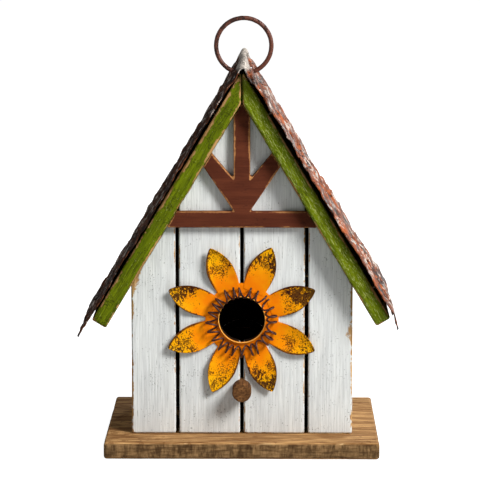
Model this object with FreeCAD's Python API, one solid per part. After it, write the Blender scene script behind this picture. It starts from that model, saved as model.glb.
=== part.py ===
import FreeCAD, Part
import math
import os

# A hanging birdhouse: whitewashed plank front, steep green-edged roof boards under a folded tin
# sheet, a tin flower with a wire coil round the entrance, a perch and a wire hanging ring.
# Millimetres. +X is to the right seen from the front, +Y runs to the back, +Z is up, and the
# origin is the centre of the base board's underside. Each function makes one piece, or one
# group of identical fasteners, and every piece is written to its own file in parts/.

Vec = FreeCAD.Vector

# ---- base board ----
BASE_W = 193.0
BASE_D = 150.0
BASE_T = 12.0

# ---- house body ----
HOUSE_W = 156.0            # across the outer faces of the side walls
HOUSE_D = 94.0             # from the planks' face to the back wall's face
SIDE_H = 107.0             # base top to the eave line, where the outer wall face meets the roof
SLOPE_DEG = 59.0           # roof slope above the horizontal
PLANK_T = 8.0
PLANK_GAP = 2.5
INNER_PLANK_W = 43.0
SIDE_T = 9.0
BACK_T = 9.0
BATTEN_T = 10.0
BATTEN_H = 16.0
BATTEN_ABOVE_ENTRANCE = 1.3

# ---- roof boards and roof sheet ----
ROOF_T = 11.5
ROOF_LEN = 202.0           # down the top face, from the ridge to the square-cut end
ROOF_OVERHANG = 14.0       # beyond the house, front and back
MITRE_GAP = 0.6            # open joint between the two boards at the ridge
SHEET_T = 0.5
FOLD_H = 3.0               # rise of each crimp in the sheet
FOLD_COUNT = 16            # crimps from front to back, running down the slope
SHEET_OVERHANG = 6.0       # beyond the roof boards, front and back
EAVE_OVERHANG = 12.0       # beyond the boards' ends, down the slope

# ---- entrance, perch and gable trim ----
ENTRANCE_D = 32.0
ENTRANCE_BELOW_EAVE = 24.3
PERCH_D = 13.5
PERCH_BELOW_ENTRANCE = 50.0
PERCH_OUT = 15.0           # length that stands out of the planks
PERCH_IN_BATTEN = 8.0
PERCH_CHAMFER = 0.8
TRIM_T = 5.5
TRIM_BAR_W = 11.6          # collar beam height and king post width
TRIM_ABOVE_EAVE = 41.4     # underside of the collar beam, above the eave line
STRUT_UPPER_DEG = 50.0     # the struts narrow a little towards the roof
STRUT_LOWER_DEG = 56.0
STRUT_RISE = 22.8          # top of the collar beam to where the strut's upper edge meets the post
TRIM_CLEARANCE = 0.4       # trim ends to the roof boards' undersides

# ---- tin flower and its coil ----
PETAL_COUNT = 8
PETAL_L = 39.6             # entrance's edge to the petal tips
PETAL_NOTCH_OUT = 8.0      # entrance's edge to the notches between petals
PETAL_BELLY_OUT = 18.0     # entrance's edge to the petals' widest place
PETAL_W = 19.0
PETAL_LIFT = 3.7           # how far the petal tips stand off the planks
TIN_T = 0.8
COLLAR_H = 3.0             # rim round the entrance, above the flat of the flower
COIL_WIRE_D = 1.3
COIL_LOOP_W = 6.7          # radial width of one turn, at the wire's centre line
COIL_TURN_DEG = 15.0
COIL_HALF_TURNS = 47
COIL_START_DEG = 48.0
COIL_CLEARANCE = 0.4       # coil to the collar

# ---- hanging ring ----
RING_OUTER_D = 42.6
RING_WIRE_D = 3.3
RING_DROP = 1.2            # lowest point of the ring's centre line, below the cross hole's axis
RING_CLEARANCE = 0.35      # ring to the cross hole at that point
RING_BORE_BELOW_APEX = 6.0 # cross hole's axis below the boards' top edge
RING_BUTT_GAP = 0.5

# ---- clean-out in the back wall ----
CLEANOUT_D = 44.0
CLEANOUT_Z = 44.0          # hole centre above the base board
COVER_LAP = 6.0            # cover beyond the hole's edge, at the sides and below
COVER_T = 5.0
COVER_CORNER_R = 6.0
COVER_GAP = 0.3            # cover to the back wall
PIVOT_ABOVE_HOLE = 14.0    # pivot above the hole's top edge
PIVOT_TO_COVER_TOP = 8.0
PIVOT_D = 4.0
PIVOT_CLEARANCE = 0.05     # radial, cover on its screw
PIVOT_HEAD_D = 9.0
PIVOT_HEAD_T = 2.4
PIVOT_IN_WALL = 7.5
PIVOT_SLOT_W = 1.2
PIVOT_SLOT_DEPTH = 1.0

# ---- fasteners ----
BRAD_D = 1.4
BRAD_HEAD_D = 2.4
BRAD_HEAD_T = 0.8
BRAD_GRIP = 5.0            # brad in the plank that it holds
BRAD_SHARES = (0.3, 0.7)   # brad places across each plank, as shares of its width
PIN_D = 1.2
PIN_GRIP = 3.5             # trim pin in the trim
BEAM_PIN_SHARES = (0.4, 0.8)  # trim pin places along each half of the collar beam
POST_PIN_ABOVE_BEAM = 43.0 # upper trim pins, above the collar beam
NAIL_D = 1.8
NAIL_HEAD_D = 4.0
NAIL_HEAD_T = 1.0
NAIL_GRIP = 15.0
NAIL_FROM_EAVE = 5.0       # batten end nails stay this far below the eave line
TACK_D = 1.6
TACK_HEAD_D = 4.0
TACK_HEAD_T = 0.8
TACK_GRIP = 7.5
TACK_FROM_RIDGE = 36.0
TACK_FROM_END = 24.0
FLOWER_TACK_D = 1.0
FLOWER_TACK_HEAD_D = 2.6
FLOWER_TACK_HEAD_T = 0.5
FLOWER_TACK_GRIP = 5.0
FLOWER_TACK_COUNT = 4
SCREW_D = 3.5
SCREW_HEAD_D = 6.8
SCREW_HEAD_T = 2.2
SCREW_RECESS = 0.6
SCREW_GRIP = 18.0
SCREW_SHARES = (0.25, 0.65)  # base screw places along each side wall, as shares of its length
SIDE_NAIL_ROWS = 3         # back wall nails up each side

# ---- sizes that follow from the ones above ----
SLOPE = math.radians(SLOPE_DEG)
HALF_W = HOUSE_W / 2
INSIDE_X = HALF_W - SIDE_T
FRONT_Y = -HOUSE_D / 2
BACK_Y = HOUSE_D / 2
PLANK_BACK_Y = FRONT_Y + PLANK_T
BACK_WALL_Y = BACK_Y - BACK_T
EAVE_Z = BASE_T + SIDE_H
ROOF_INNER_Z = EAVE_Z + HALF_W * math.tan(SLOPE)
ROOF_OUTER_Z = ROOF_INNER_Z + ROOF_T / math.cos(SLOPE)
BOARD_FRONT_Y = FRONT_Y - ROOF_OVERHANG
BOARD_BACK_Y = BACK_Y + ROOF_OVERHANG
SHEET_FRONT_Y = BOARD_FRONT_Y - SHEET_OVERHANG
SHEET_BACK_Y = BOARD_BACK_Y + SHEET_OVERHANG
FOLD_PITCH = (SHEET_BACK_Y - SHEET_FRONT_Y) / FOLD_COUNT
FOLD_RISE = FOLD_H / (FOLD_PITCH / 2)
SHEET_T_ACROSS = SHEET_T / math.cos(math.atan(FOLD_RISE))
TACK_SEAT_H = SHEET_T_ACROSS + TACK_HEAD_D / 2 * FOLD_RISE
ENTRANCE_R = ENTRANCE_D / 2
ENTRANCE_Z = EAVE_Z - ENTRANCE_BELOW_EAVE
PERCH_Z = ENTRANCE_Z - PERCH_BELOW_ENTRANCE
UPPER_BATTEN_Z = ENTRANCE_Z + ENTRANCE_R + BATTEN_ABOVE_ENTRANCE + BATTEN_H / 2
BATTEN_BACK_Y = PLANK_BACK_Y + BATTEN_T
GAP_CENTRE = INNER_PLANK_W + PLANK_GAP
OUTER_PLANK_X = GAP_CENTRE + PLANK_GAP / 2
BEAM_Z = EAVE_Z + TRIM_ABOVE_EAVE
BEAM_TOP_Z = BEAM_Z + TRIM_BAR_W
TRIM_FACE_Y = FRONT_Y - TRIM_T
TIN_FACE_Y = FRONT_Y - TIN_T
PETAL_TIP_R = ENTRANCE_R + PETAL_L
PETAL_NOTCH_R = ENTRANCE_R + PETAL_NOTCH_OUT
PETAL_BELLY_R = ENTRANCE_R + PETAL_BELLY_OUT
COIL_R = ENTRANCE_R + TIN_T + COIL_CLEARANCE + COIL_LOOP_W / 2 + COIL_WIRE_D / 2
RING_R = (RING_OUTER_D - RING_WIRE_D) / 2
RING_BORE_D = RING_WIRE_D + 2 * (RING_DROP + RING_CLEARANCE)
RING_BORE_Z = ROOF_OUTER_Z - RING_BORE_BELOW_APEX
RING_Z = RING_BORE_Z + RING_R - RING_DROP
CLEANOUT_CENTRE_Z = BASE_T + CLEANOUT_Z
CLEANOUT_R = CLEANOUT_D / 2
PIVOT_Z = CLEANOUT_CENTRE_Z + CLEANOUT_R + PIVOT_ABOVE_HOLE
COVER_TOP_Z = PIVOT_Z + PIVOT_TO_COVER_TOP
COVER_FOOT_Z = CLEANOUT_CENTRE_Z - CLEANOUT_R - COVER_LAP
COVER_HALF_W = CLEANOUT_R + COVER_LAP
COVER_IN_Y = BACK_Y + COVER_GAP
COVER_OUT_Y = COVER_IN_Y + COVER_T
FAR = HOUSE_W + ROOF_LEN   # longer than anything it has to cut across


def box(x0, x1, y0, y1, z0, z1):
    """Block between two corners."""
    return Part.makeBox(x1 - x0, y1 - y0, z1 - z0, Vec(x0, y0, z0))


def prism(outline, y0, y1):
    """Outline of (x, z) points, extruded from y0 to y1."""
    points = [Vec(x, y0, z) for x, z in outline]
    face = Part.Face(Part.makePolygon(points + points[:1]))
    return face.extrude(Vec(0, y1 - y0, 0))


def rod(start, end, diameter):
    """Round bar from one point to another."""
    run = end - start
    return Part.makeCylinder(diameter / 2, run.Length, start, run)


def nail(top, direction, length, diameter, head_d, head_t):
    """Nail whose head's outer face is centred on top, driven along direction."""
    along = Vec(direction).normalize()
    shank = Part.makeCylinder(diameter / 2, length, top, along)
    head = Part.makeCylinder(head_d / 2, head_t, top, along)
    return shank.fuse(head).removeSplitter()


def drilled(shape, *groups):
    """The shape with the fasteners of each group cut out of it."""
    for group in groups:
        for fastener in group:
            if fastener.BoundBox.intersect(shape.BoundBox):
                shape = shape.cut(fastener)
    return shape


def group_of(solids):
    """Separate solids kept together as one piece of the list."""
    return Part.makeCompound(solids)


def roof_under_z(x):
    """Height of the roof boards' undersides at x."""
    return ROOF_INNER_Z - abs(x) * math.tan(SLOPE)


def on_slope(side, along, height, y):
    """Point a distance down the boards' top face from the ridge, and a height off that face."""
    x = along * math.cos(SLOPE) + height * math.sin(SLOPE)
    z = ROOF_OUTER_Z - along * math.sin(SLOPE) + height * math.cos(SLOPE)
    return Vec(side * x, y, z)


def into_slope(side):
    """Direction square to the slope, into the roof."""
    return Vec(-side * math.sin(SLOPE), 0, -math.cos(SLOPE))


def gable_prism(y0, y1, clearance=0.0):
    """Everything under the roof boards, from y0 to y1, less a clearance square to the slope."""
    drop = clearance / math.cos(SLOPE)
    top_z = ROOF_INNER_Z - drop
    foot_x = top_z / math.tan(SLOPE)
    return prism([(-foot_x, 0), (0, top_z), (foot_x, 0)], y0, y1)


def ring_bore():
    """Cross hole under the ridge."""
    return rod(Vec(-FAR, 0, RING_BORE_Z), Vec(FAR, 0, RING_BORE_Z), RING_BORE_D)


def entrance_bore(y0, y1):
    """Entrance hole between two depths."""
    return rod(Vec(0, y0, ENTRANCE_Z), Vec(0, y1, ENTRANCE_Z), ENTRANCE_D)


# ---------------------------------------------------------------- fasteners

def batten_brads():
    """Brads driven from inside through both battens into the planks."""
    spans = [(PLANK_GAP / 2, PLANK_GAP / 2 + INNER_PLANK_W), (OUTER_PLANK_X, INSIDE_X)]
    brads = []
    for z in (PERCH_Z, UPPER_BATTEN_Z):
        for low, high in spans:
            for share in BRAD_SHARES:
                for side in (-1, 1):
                    x = side * (low + (high - low) * share)
                    top = Vec(x, BATTEN_BACK_Y, z)
                    length = BATTEN_T + BRAD_GRIP
                    brads.append(nail(top, Vec(0, -1, 0), length, BRAD_D, BRAD_HEAD_D, BRAD_HEAD_T))
    return brads


def trim_pins():
    """Pins driven from behind through the planks into the gable trim."""
    beam_mid_z = BEAM_Z + TRIM_BAR_W / 2
    beam_end_x = (ROOF_INNER_Z - BEAM_TOP_Z) / math.tan(SLOPE)
    places = [(beam_end_x * share, beam_mid_z) for share in BEAM_PIN_SHARES]
    places.append(((PLANK_GAP + TRIM_BAR_W) / 4, BEAM_TOP_Z + POST_PIN_ABOVE_BEAM))
    pins = []
    for x, z in places:
        for side in (-1, 1):
            top = Vec(side * x, PLANK_BACK_Y, z)
            pins.append(rod(top, top - Vec(0, PLANK_T + PIN_GRIP, 0), PIN_D))
    return pins


def batten_end_nails():
    """Nails through the side walls into the battens' ends."""
    y = PLANK_BACK_Y + BATTEN_T / 2
    nails = []
    for z_mid in (PERCH_Z, UPPER_BATTEN_Z):
        for side in (-1, 1):
            z = min(z_mid - BATTEN_H / 4, EAVE_Z - NAIL_FROM_EAVE)
            top = Vec(side * HALF_W, y, z)
            length = SIDE_T + NAIL_GRIP
            nails.append(nail(top, Vec(-side, 0, 0), length, NAIL_D, NAIL_HEAD_D, NAIL_HEAD_T))
    return nails


def back_wall_nails():
    """Nails through the back wall into the side walls' ends."""
    nails = []
    for row in range(SIDE_NAIL_ROWS):
        z = BASE_T + SIDE_H * (row + 0.5) / SIDE_NAIL_ROWS
        for side in (-1, 1):
            top = Vec(side * (HALF_W - SIDE_T / 2), BACK_Y, z)
            length = BACK_T + NAIL_GRIP
            nails.append(nail(top, Vec(0, -1, 0), length, NAIL_D, NAIL_HEAD_D, NAIL_HEAD_T))
    return nails


def roof_board_nails():
    """Nails square to the slope through the roof boards into the gable edges."""
    run = NAIL_GRIP * math.sin(SLOPE)
    inner_x = (PLANK_GAP + INNER_PLANK_W + run) / 2
    outer_x = (OUTER_PLANK_X + HALF_W + run) / 2
    nails = []
    for x in (inner_x, outer_x):
        along = x / math.cos(SLOPE) + ROOF_T * math.tan(SLOPE)
        for y in (FRONT_Y + PLANK_T / 2, BACK_Y - BACK_T / 2):
            for side in (-1, 1):
                top = on_slope(side, along, 0, y)
                length = ROOF_T + NAIL_GRIP
                nails.append(nail(top, into_slope(side), length, NAIL_D, NAIL_HEAD_D, NAIL_HEAD_T))
    return nails


def roof_sheet_tacks():
    """Tacks through valleys of the sheet into the roof boards, heads seated between the crimps."""
    tacks = []
    for valley in (1, FOLD_COUNT // 2 - 1, FOLD_COUNT - 2):
        y = SHEET_FRONT_Y + (valley + 0.5) * FOLD_PITCH
        for along in (TACK_FROM_RIDGE, ROOF_LEN - TACK_FROM_END):
            for side in (-1, 1):
                top = on_slope(side, along, TACK_SEAT_H + TACK_HEAD_T, y)
                length = TACK_HEAD_T + TACK_SEAT_H + TACK_GRIP
                tacks.append(nail(top, into_slope(side), length, TACK_D, TACK_HEAD_D, TACK_HEAD_T))
    return tacks


def flower_tacks():
    """Small tacks through the flat of the flower, each between two turns of the coil."""
    tacks = []
    between_turns = COIL_START_DEG + 1.25 * COIL_TURN_DEG
    for index in range(FLOWER_TACK_COUNT):
        angle = math.radians(between_turns + 360 / FLOWER_TACK_COUNT * index)
        x = COIL_R * math.cos(angle)
        z = ENTRANCE_Z + COIL_R * math.sin(angle)
        top = Vec(x, TIN_FACE_Y - FLOWER_TACK_HEAD_T, z)
        length = FLOWER_TACK_HEAD_T + TIN_T + FLOWER_TACK_GRIP
        tacks.append(nail(top, Vec(0, 1, 0), length, FLOWER_TACK_D, FLOWER_TACK_HEAD_D,
                          FLOWER_TACK_HEAD_T))
    return tacks


def base_screw_places():
    """Centres of the screws that come up through the base board."""
    wall_mid_x = HALF_W - SIDE_T / 2
    wall_len = BACK_WALL_Y - PLANK_BACK_Y
    places = []
    for share in SCREW_SHARES:
        for side in (-1, 1):
            places.append((side * wall_mid_x, PLANK_BACK_Y + wall_len * share))
    for side in (-1, 1):
        places.append((side * GAP_CENTRE / 2, BACK_Y - BACK_T / 2))
    return places


def base_screws():
    """Countersunk screws up through the base board into the side walls and the back wall."""
    screws = []
    for x, y in base_screw_places():
        foot = Vec(x, y, SCREW_RECESS)
        head = Part.makeCone(SCREW_HEAD_D / 2, SCREW_D / 2, SCREW_HEAD_T, foot)
        shank = rod(foot, Vec(x, y, BASE_T + SCREW_GRIP), SCREW_D)
        screws.append(head.fuse(shank).removeSplitter())
    return screws


def pivot_screw():
    """Round-headed screw that the clean-out cover turns on."""
    head_y = COVER_OUT_Y + COVER_GAP
    face_y = head_y + PIVOT_HEAD_T
    shank = rod(Vec(0, BACK_Y - PIVOT_IN_WALL, PIVOT_Z), Vec(0, head_y, PIVOT_Z), PIVOT_D)
    head = rod(Vec(0, head_y, PIVOT_Z), Vec(0, face_y, PIVOT_Z), PIVOT_HEAD_D)
    slot = box(-PIVOT_HEAD_D, PIVOT_HEAD_D, face_y - PIVOT_SLOT_DEPTH, face_y,
               PIVOT_Z - PIVOT_SLOT_W / 2, PIVOT_Z + PIVOT_SLOT_W / 2)
    return shank.fuse(head).removeSplitter().cut(slot)


# ---------------------------------------------------------------- wood

def base_board(screws):
    """Flat board that everything stands on, with countersunk screw holes."""
    board = box(-BASE_W / 2, BASE_W / 2, -BASE_D / 2, BASE_D / 2, 0, BASE_T)
    for x, y in base_screw_places():
        board = board.cut(rod(Vec(x, y, 0), Vec(x, y, SCREW_RECESS), SCREW_HEAD_D))
    return drilled(board, screws)


def front_plank(x0, x1, *fasteners):
    """One upright board of the front, cut to the roof slope and round the entrance and perch."""
    plank = box(x0, x1, FRONT_Y, PLANK_BACK_Y, BASE_T, ROOF_INNER_Z)
    plank = plank.common(gable_prism(FRONT_Y, PLANK_BACK_Y))
    plank = plank.cut(entrance_bore(FRONT_Y, PLANK_BACK_Y))
    perch_hole = rod(Vec(0, FRONT_Y, PERCH_Z), Vec(0, PLANK_BACK_Y, PERCH_Z), PERCH_D)
    return drilled(plank.cut(perch_hole), *fasteners)


def batten(z_mid, *fasteners):
    """Level strip behind the planks, between the side walls."""
    strip = box(-INSIDE_X, INSIDE_X, PLANK_BACK_Y, BATTEN_BACK_Y, z_mid - BATTEN_H / 2,
                z_mid + BATTEN_H / 2)
    return drilled(strip, *fasteners)


def side_wall(side, *fasteners):
    """Side wall, its top bevelled to the roof slope."""
    x_out = side * HALF_W
    x_in = side * INSIDE_X
    outline = [(x_in, BASE_T), (x_out, BASE_T), (x_out, EAVE_Z), (x_in, roof_under_z(INSIDE_X))]
    return drilled(prism(outline, PLANK_BACK_Y, BACK_WALL_Y), *fasteners)


def back_wall(*fasteners):
    """Back gable wall with the round clean-out hole."""
    wall = box(-HALF_W, HALF_W, BACK_WALL_Y, BACK_Y, BASE_T, ROOF_INNER_Z)
    wall = wall.common(gable_prism(BACK_WALL_Y, BACK_Y))
    hole = rod(Vec(0, BACK_WALL_Y, CLEANOUT_CENTRE_Z), Vec(0, BACK_Y, CLEANOUT_CENTRE_Z), CLEANOUT_D)
    return drilled(wall.cut(hole), *fasteners)


def roof_board(side, *fasteners):
    """Full-depth roof board, mitred at the ridge and cut square at the eave."""
    corners = [
        on_slope(side, 0, 0, 0),
        on_slope(side, ROOF_LEN, 0, 0),
        on_slope(side, ROOF_LEN, -ROOF_T, 0),
        Vec(0, 0, ROOF_INNER_Z),
    ]
    board = prism([(corner.x, corner.z) for corner in corners], BOARD_FRONT_Y, BOARD_BACK_Y)
    half_gap = MITRE_GAP / 2
    joint = box(-half_gap, half_gap, BOARD_FRONT_Y, BOARD_BACK_Y, 0, ROOF_OUTER_Z)
    return drilled(board.cut(joint).cut(ring_bore()), *fasteners)


def gable_trim(*fasteners):
    """One cut-out board: collar beam, king post and two struts."""
    half = TRIM_BAR_W / 2
    beam = box(-FAR, FAR, TRIM_FACE_Y, FRONT_Y, BEAM_Z, BEAM_TOP_Z)
    trim = beam.fuse(box(-half, half, TRIM_FACE_Y, FRONT_Y, BEAM_Z, ROOF_INNER_Z))
    meet_z = BEAM_TOP_Z + STRUT_RISE
    reach = (ROOF_INNER_Z - BEAM_TOP_Z) / math.tan(SLOPE)
    lower_end_z = BEAM_TOP_Z + (reach - half) * math.tan(math.radians(STRUT_LOWER_DEG))
    upper_end_z = meet_z + (reach - half) * math.tan(math.radians(STRUT_UPPER_DEG))
    for side in (-1, 1):
        outline = [
            (0, BEAM_TOP_Z),
            (side * half, BEAM_TOP_Z),
            (side * reach, lower_end_z),
            (side * reach, upper_end_z),
            (side * half, meet_z),
            (0, meet_z),
        ]
        trim = trim.fuse(prism(outline, TRIM_FACE_Y, FRONT_Y))
    trim = trim.common(gable_prism(TRIM_FACE_Y, FRONT_Y, TRIM_CLEARANCE))
    return drilled(trim.removeSplitter(), *fasteners)


def perch():
    """Short round perch, set through the planks into the lower batten."""
    tip = Vec(0, FRONT_Y - PERCH_OUT, PERCH_Z)
    root = Vec(0, PLANK_BACK_Y + PERCH_IN_BATTEN, PERCH_Z)
    neck = tip + Vec(0, PERCH_CHAMFER, 0)
    nose = Part.makeCone(PERCH_D / 2 - PERCH_CHAMFER, PERCH_D / 2, PERCH_CHAMFER, tip, Vec(0, 1, 0))
    return rod(neck, root, PERCH_D).fuse(nose).removeSplitter()


def perch_socket():
    """Blind hole for the perch in the lower batten."""
    root = Vec(0, PLANK_BACK_Y + PERCH_IN_BATTEN, PERCH_Z)
    return rod(Vec(0, PLANK_BACK_Y, PERCH_Z), root, PERCH_D)


def cleanout_cover():
    """Flap that hangs from one screw over the clean-out hole."""
    flap = box(-COVER_HALF_W, COVER_HALF_W, COVER_IN_Y, COVER_OUT_Y, COVER_FOOT_Z, COVER_TOP_Z)
    corners = [edge for edge in flap.Edges if edge.BoundBox.YLength > COVER_T / 2]
    flap = flap.makeFillet(COVER_CORNER_R, corners)
    bore_d = PIVOT_D + 2 * PIVOT_CLEARANCE
    return flap.cut(rod(Vec(0, COVER_IN_Y, PIVOT_Z), Vec(0, COVER_OUT_Y, PIVOT_Z), bore_d))


# ---------------------------------------------------------------- metal

def roof_sheet(tacks):
    """Crimped tin sheet folded over the ridge, with a hole each side for the hanging ring."""
    lower = []
    for index in range(2 * FOLD_COUNT + 1):
        height = FOLD_H if index % 2 == 0 else 0.0
        lower.append((SHEET_FRONT_Y + index * FOLD_PITCH / 2, height))
    outline = lower + [(y, height + SHEET_T_ACROSS) for y, height in reversed(lower)]
    halves = []
    for side in (-1, 1):
        above_ridge = on_slope(side, -2 * ROOF_T, 0, 0)
        rise = into_slope(side) * -1
        points = [above_ridge + Vec(0, y, 0) + rise * height for y, height in outline]
        face = Part.Face(Part.makePolygon(points + points[:1]))
        run = on_slope(side, ROOF_LEN + EAVE_OVERHANG, 0, 0) - above_ridge
        keep = box(min(0, side * FAR), max(0, side * FAR), -FAR, FAR, 0, FAR * 2)
        halves.append(face.extrude(run).common(keep))
    sheet = halves[0].fuse(halves[1]).removeSplitter().cut(ring_bore())
    return drilled(sheet, tacks)


def petal_outline():
    """Closed wire of pointed petals round the entrance."""
    half_step = math.pi / PETAL_COUNT
    edges = []
    for index in range(PETAL_COUNT):
        axis = (2 * index + 1) * half_step

        def place(along, across):
            x = along * math.cos(axis) - across * math.sin(axis)
            z = along * math.sin(axis) + across * math.cos(axis)
            return Vec(x, 0, ENTRANCE_Z + z)

        notch_along = PETAL_NOTCH_R * math.cos(half_step)
        notch_across = PETAL_NOTCH_R * math.sin(half_step)
        tip = place(PETAL_TIP_R, 0)
        for turn in (-1, 1):
            notch = place(notch_along, turn * notch_across)
            belly = place(PETAL_BELLY_R, turn * PETAL_W / 2)
            edges.append(Part.Arc(notch, belly, tip).toShape())
    return Part.Wire(Part.__sortEdges__(edges))


def flower(tacks):
    """Tin flower: flat middle with a raised collar, and petals that rise to their tips."""
    reach = PETAL_TIP_R + PETAL_LIFT
    rise = PETAL_LIFT * (reach - PETAL_NOTCH_R) / (PETAL_TIP_R - PETAL_NOTCH_R)
    profile = [
        (ENTRANCE_R, 0),
        (PETAL_NOTCH_R, 0),
        (reach, rise),
        (reach, rise + TIN_T),
        (PETAL_NOTCH_R, TIN_T),
        (ENTRANCE_R + TIN_T, TIN_T),
        (ENTRANCE_R + TIN_T, TIN_T + COLLAR_H),
        (ENTRANCE_R, TIN_T + COLLAR_H),
    ]
    points = [Vec(r, FRONT_Y - out, ENTRANCE_Z) for r, out in profile]
    face = Part.Face(Part.makePolygon(points + points[:1]))
    dish = face.revolve(Vec(0, 0, ENTRANCE_Z), Vec(0, 1, 0), 360)
    cutter = Part.Face(petal_outline()).extrude(Vec(0, -reach, 0))
    cutter.translate(Vec(0, FRONT_Y, 0))
    return drilled(dish.common(cutter), tacks)


def coil_point(angle, radius, height):
    """Point at an angle round the entrance, a radius out and a height off the flower's flat."""
    x = radius * math.cos(angle)
    z = ENTRANCE_Z + radius * math.sin(angle)
    return Vec(x, TIN_FACE_Y - height, z)


def wire_coil():
    """Wire wound into turns and bent round the collar: half turns, over and under by turns."""
    outer = COIL_R + COIL_LOOP_W / 2
    inner = COIL_R - COIL_LOOP_W / 2
    half_step = math.radians(COIL_TURN_DEG) / 2
    chord = math.sqrt(outer ** 2 + inner ** 2 - 2 * outer * inner * math.cos(half_step))
    mid_h = COIL_WIRE_D / 2 + chord / 2
    edges = []
    for index in range(COIL_HALF_TURNS):
        angle = math.radians(COIL_START_DEG) + index * half_step
        over = index % 2 == 0
        start = coil_point(angle, outer if over else inner, mid_h)
        end = coil_point(angle + half_step, inner if over else outer, mid_h)
        lift = Vec(0, -chord / 2 if over else chord / 2, 0)
        edges.append(Part.Arc(start, (start + end) / 2 + lift, end).toShape())
    path = Part.Wire(edges)
    first = coil_point(math.radians(COIL_START_DEG), outer, mid_h)
    section = Part.Wire(Part.Circle(first, Vec(0, 1, 0), COIL_WIRE_D / 2).toShape())
    return path.makePipeShell([section], True, True)


def hanging_ring():
    """Round wire ring with its butted ends under the ridge."""
    ring = Part.makeTorus(RING_R, RING_WIRE_D / 2, Vec(0, 0, RING_Z), Vec(0, 1, 0))
    half = RING_BUTT_GAP / 2
    return ring.cut(box(-half, half, -RING_WIRE_D, RING_WIRE_D, RING_Z - RING_OUTER_D, RING_Z))


# ---------------------------------------------------------------- assembly

def birdhouse():
    """All the pieces, by name."""
    brads = batten_brads()
    pins = trim_pins()
    end_nails = batten_end_nails()
    wall_nails = back_wall_nails()
    board_nails = roof_board_nails()
    sheet_tacks = roof_sheet_tacks()
    petal_tacks = flower_tacks()
    screws = base_screws()
    pivot = pivot_screw()
    in_planks = (brads, pins, board_nails, petal_tacks)
    in_sides = (end_nails, wall_nails, screws)
    inner_x0 = PLANK_GAP / 2
    inner_x1 = inner_x0 + INNER_PLANK_W
    return {
        "base_board": base_board(screws),
        "front_plank_left_outer": front_plank(-HALF_W, -OUTER_PLANK_X, *in_planks),
        "front_plank_left_inner": front_plank(-inner_x1, -inner_x0, *in_planks),
        "front_plank_right_inner": front_plank(inner_x0, inner_x1, *in_planks),
        "front_plank_right_outer": front_plank(OUTER_PLANK_X, HALF_W, *in_planks),
        "batten_lower": batten(PERCH_Z, brads, end_nails, [perch_socket()]),
        "batten_upper": batten(UPPER_BATTEN_Z, brads, end_nails),
        "side_wall_left": side_wall(-1, *in_sides),
        "side_wall_right": side_wall(1, *in_sides),
        "back_wall": back_wall(wall_nails, board_nails, screws, [pivot]),
        "roof_board_left": roof_board(-1, board_nails, sheet_tacks),
        "roof_board_right": roof_board(1, board_nails, sheet_tacks),
        "roof_sheet": roof_sheet(sheet_tacks),
        "gable_trim": gable_trim(pins),
        "perch": perch(),
        "flower": flower(petal_tacks),
        "wire_coil": wire_coil(),
        "hanging_ring": hanging_ring(),
        "cleanout_cover": cleanout_cover(),
        "pivot_screw": pivot,
        "batten_brads": group_of(brads),
        "trim_pins": group_of(pins),
        "batten_end_nails": group_of(end_nails),
        "back_wall_nails": group_of(wall_nails),
        "roof_board_nails": group_of(board_nails),
        "roof_sheet_tacks": group_of(sheet_tacks),
        "flower_tacks": group_of(petal_tacks),
        "base_screws": group_of(screws),
    }


os.makedirs("parts", exist_ok=True)
for name, shape in birdhouse().items():
    shape.exportStep(os.path.join("parts", name + ".step"))
    print(name, len(shape.Solids), "solid(s)", round(shape.Volume, 1), "mm3", shape.isValid())
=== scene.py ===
import logging
import math
import random
from contextlib import contextmanager
from dataclasses import dataclass
from enum import Enum
from functools import reduce
from typing import Callable, Iterable, Iterator

import bmesh
import bpy
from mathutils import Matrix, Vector, kdtree, noise


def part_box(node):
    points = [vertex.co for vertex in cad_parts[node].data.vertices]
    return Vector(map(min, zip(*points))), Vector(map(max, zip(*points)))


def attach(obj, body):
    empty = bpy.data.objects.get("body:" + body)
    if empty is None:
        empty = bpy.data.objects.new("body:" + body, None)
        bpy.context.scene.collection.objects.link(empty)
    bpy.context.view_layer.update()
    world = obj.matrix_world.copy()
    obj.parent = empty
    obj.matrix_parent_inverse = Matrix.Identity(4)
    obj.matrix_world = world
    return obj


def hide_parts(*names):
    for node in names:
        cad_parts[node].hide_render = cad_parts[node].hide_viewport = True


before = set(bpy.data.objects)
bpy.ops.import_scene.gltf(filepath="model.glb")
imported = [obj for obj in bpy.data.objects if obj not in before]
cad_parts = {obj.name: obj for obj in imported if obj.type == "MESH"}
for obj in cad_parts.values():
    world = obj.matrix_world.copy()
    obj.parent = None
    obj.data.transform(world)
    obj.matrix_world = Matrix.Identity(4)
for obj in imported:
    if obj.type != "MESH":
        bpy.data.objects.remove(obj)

# A hanging birdhouse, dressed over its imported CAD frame. Metres; +X is to the right seen from the
# front, +Y runs to the back and +Z is up. The pieces keep the places of the CAD nodes that they
# stand for, and the fasteners and inner strips stay as they are under better materials.

log = logging.getLogger("birdhouse")
Colour = tuple[float, float, float, float]
Triple = tuple[float, float, float]
MM = 0.001
OVERRUN = 10 * MM  # how far a drill bit starts and ends outside a piece
FACING = 0.6  # least share of a face's normal that counts as facing a way
ROUND_SIDES = 48


class Side(Enum):
    """Left or right of the gable, seen from the front."""

    LEFT = -1
    RIGHT = 1

    @property
    def word(self) -> str:
        """The side's name as the CAD nodes spell it."""
        return self.name.lower()


class GrainRun(Enum):
    """Which way the grain runs in a wooden piece: the turn that brings it upright."""

    UP = (0.0, 0.0, 0.0)
    ACROSS = (0.0, -math.pi / 2, 0.0)
    THROUGH = (math.pi / 2, 0.0, 0.0)
    DOWN_RIGHT = (0.0, -math.radians(149.0), 0.0)
    DOWN_LEFT = (0.0, math.radians(149.0), 0.0)


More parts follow.
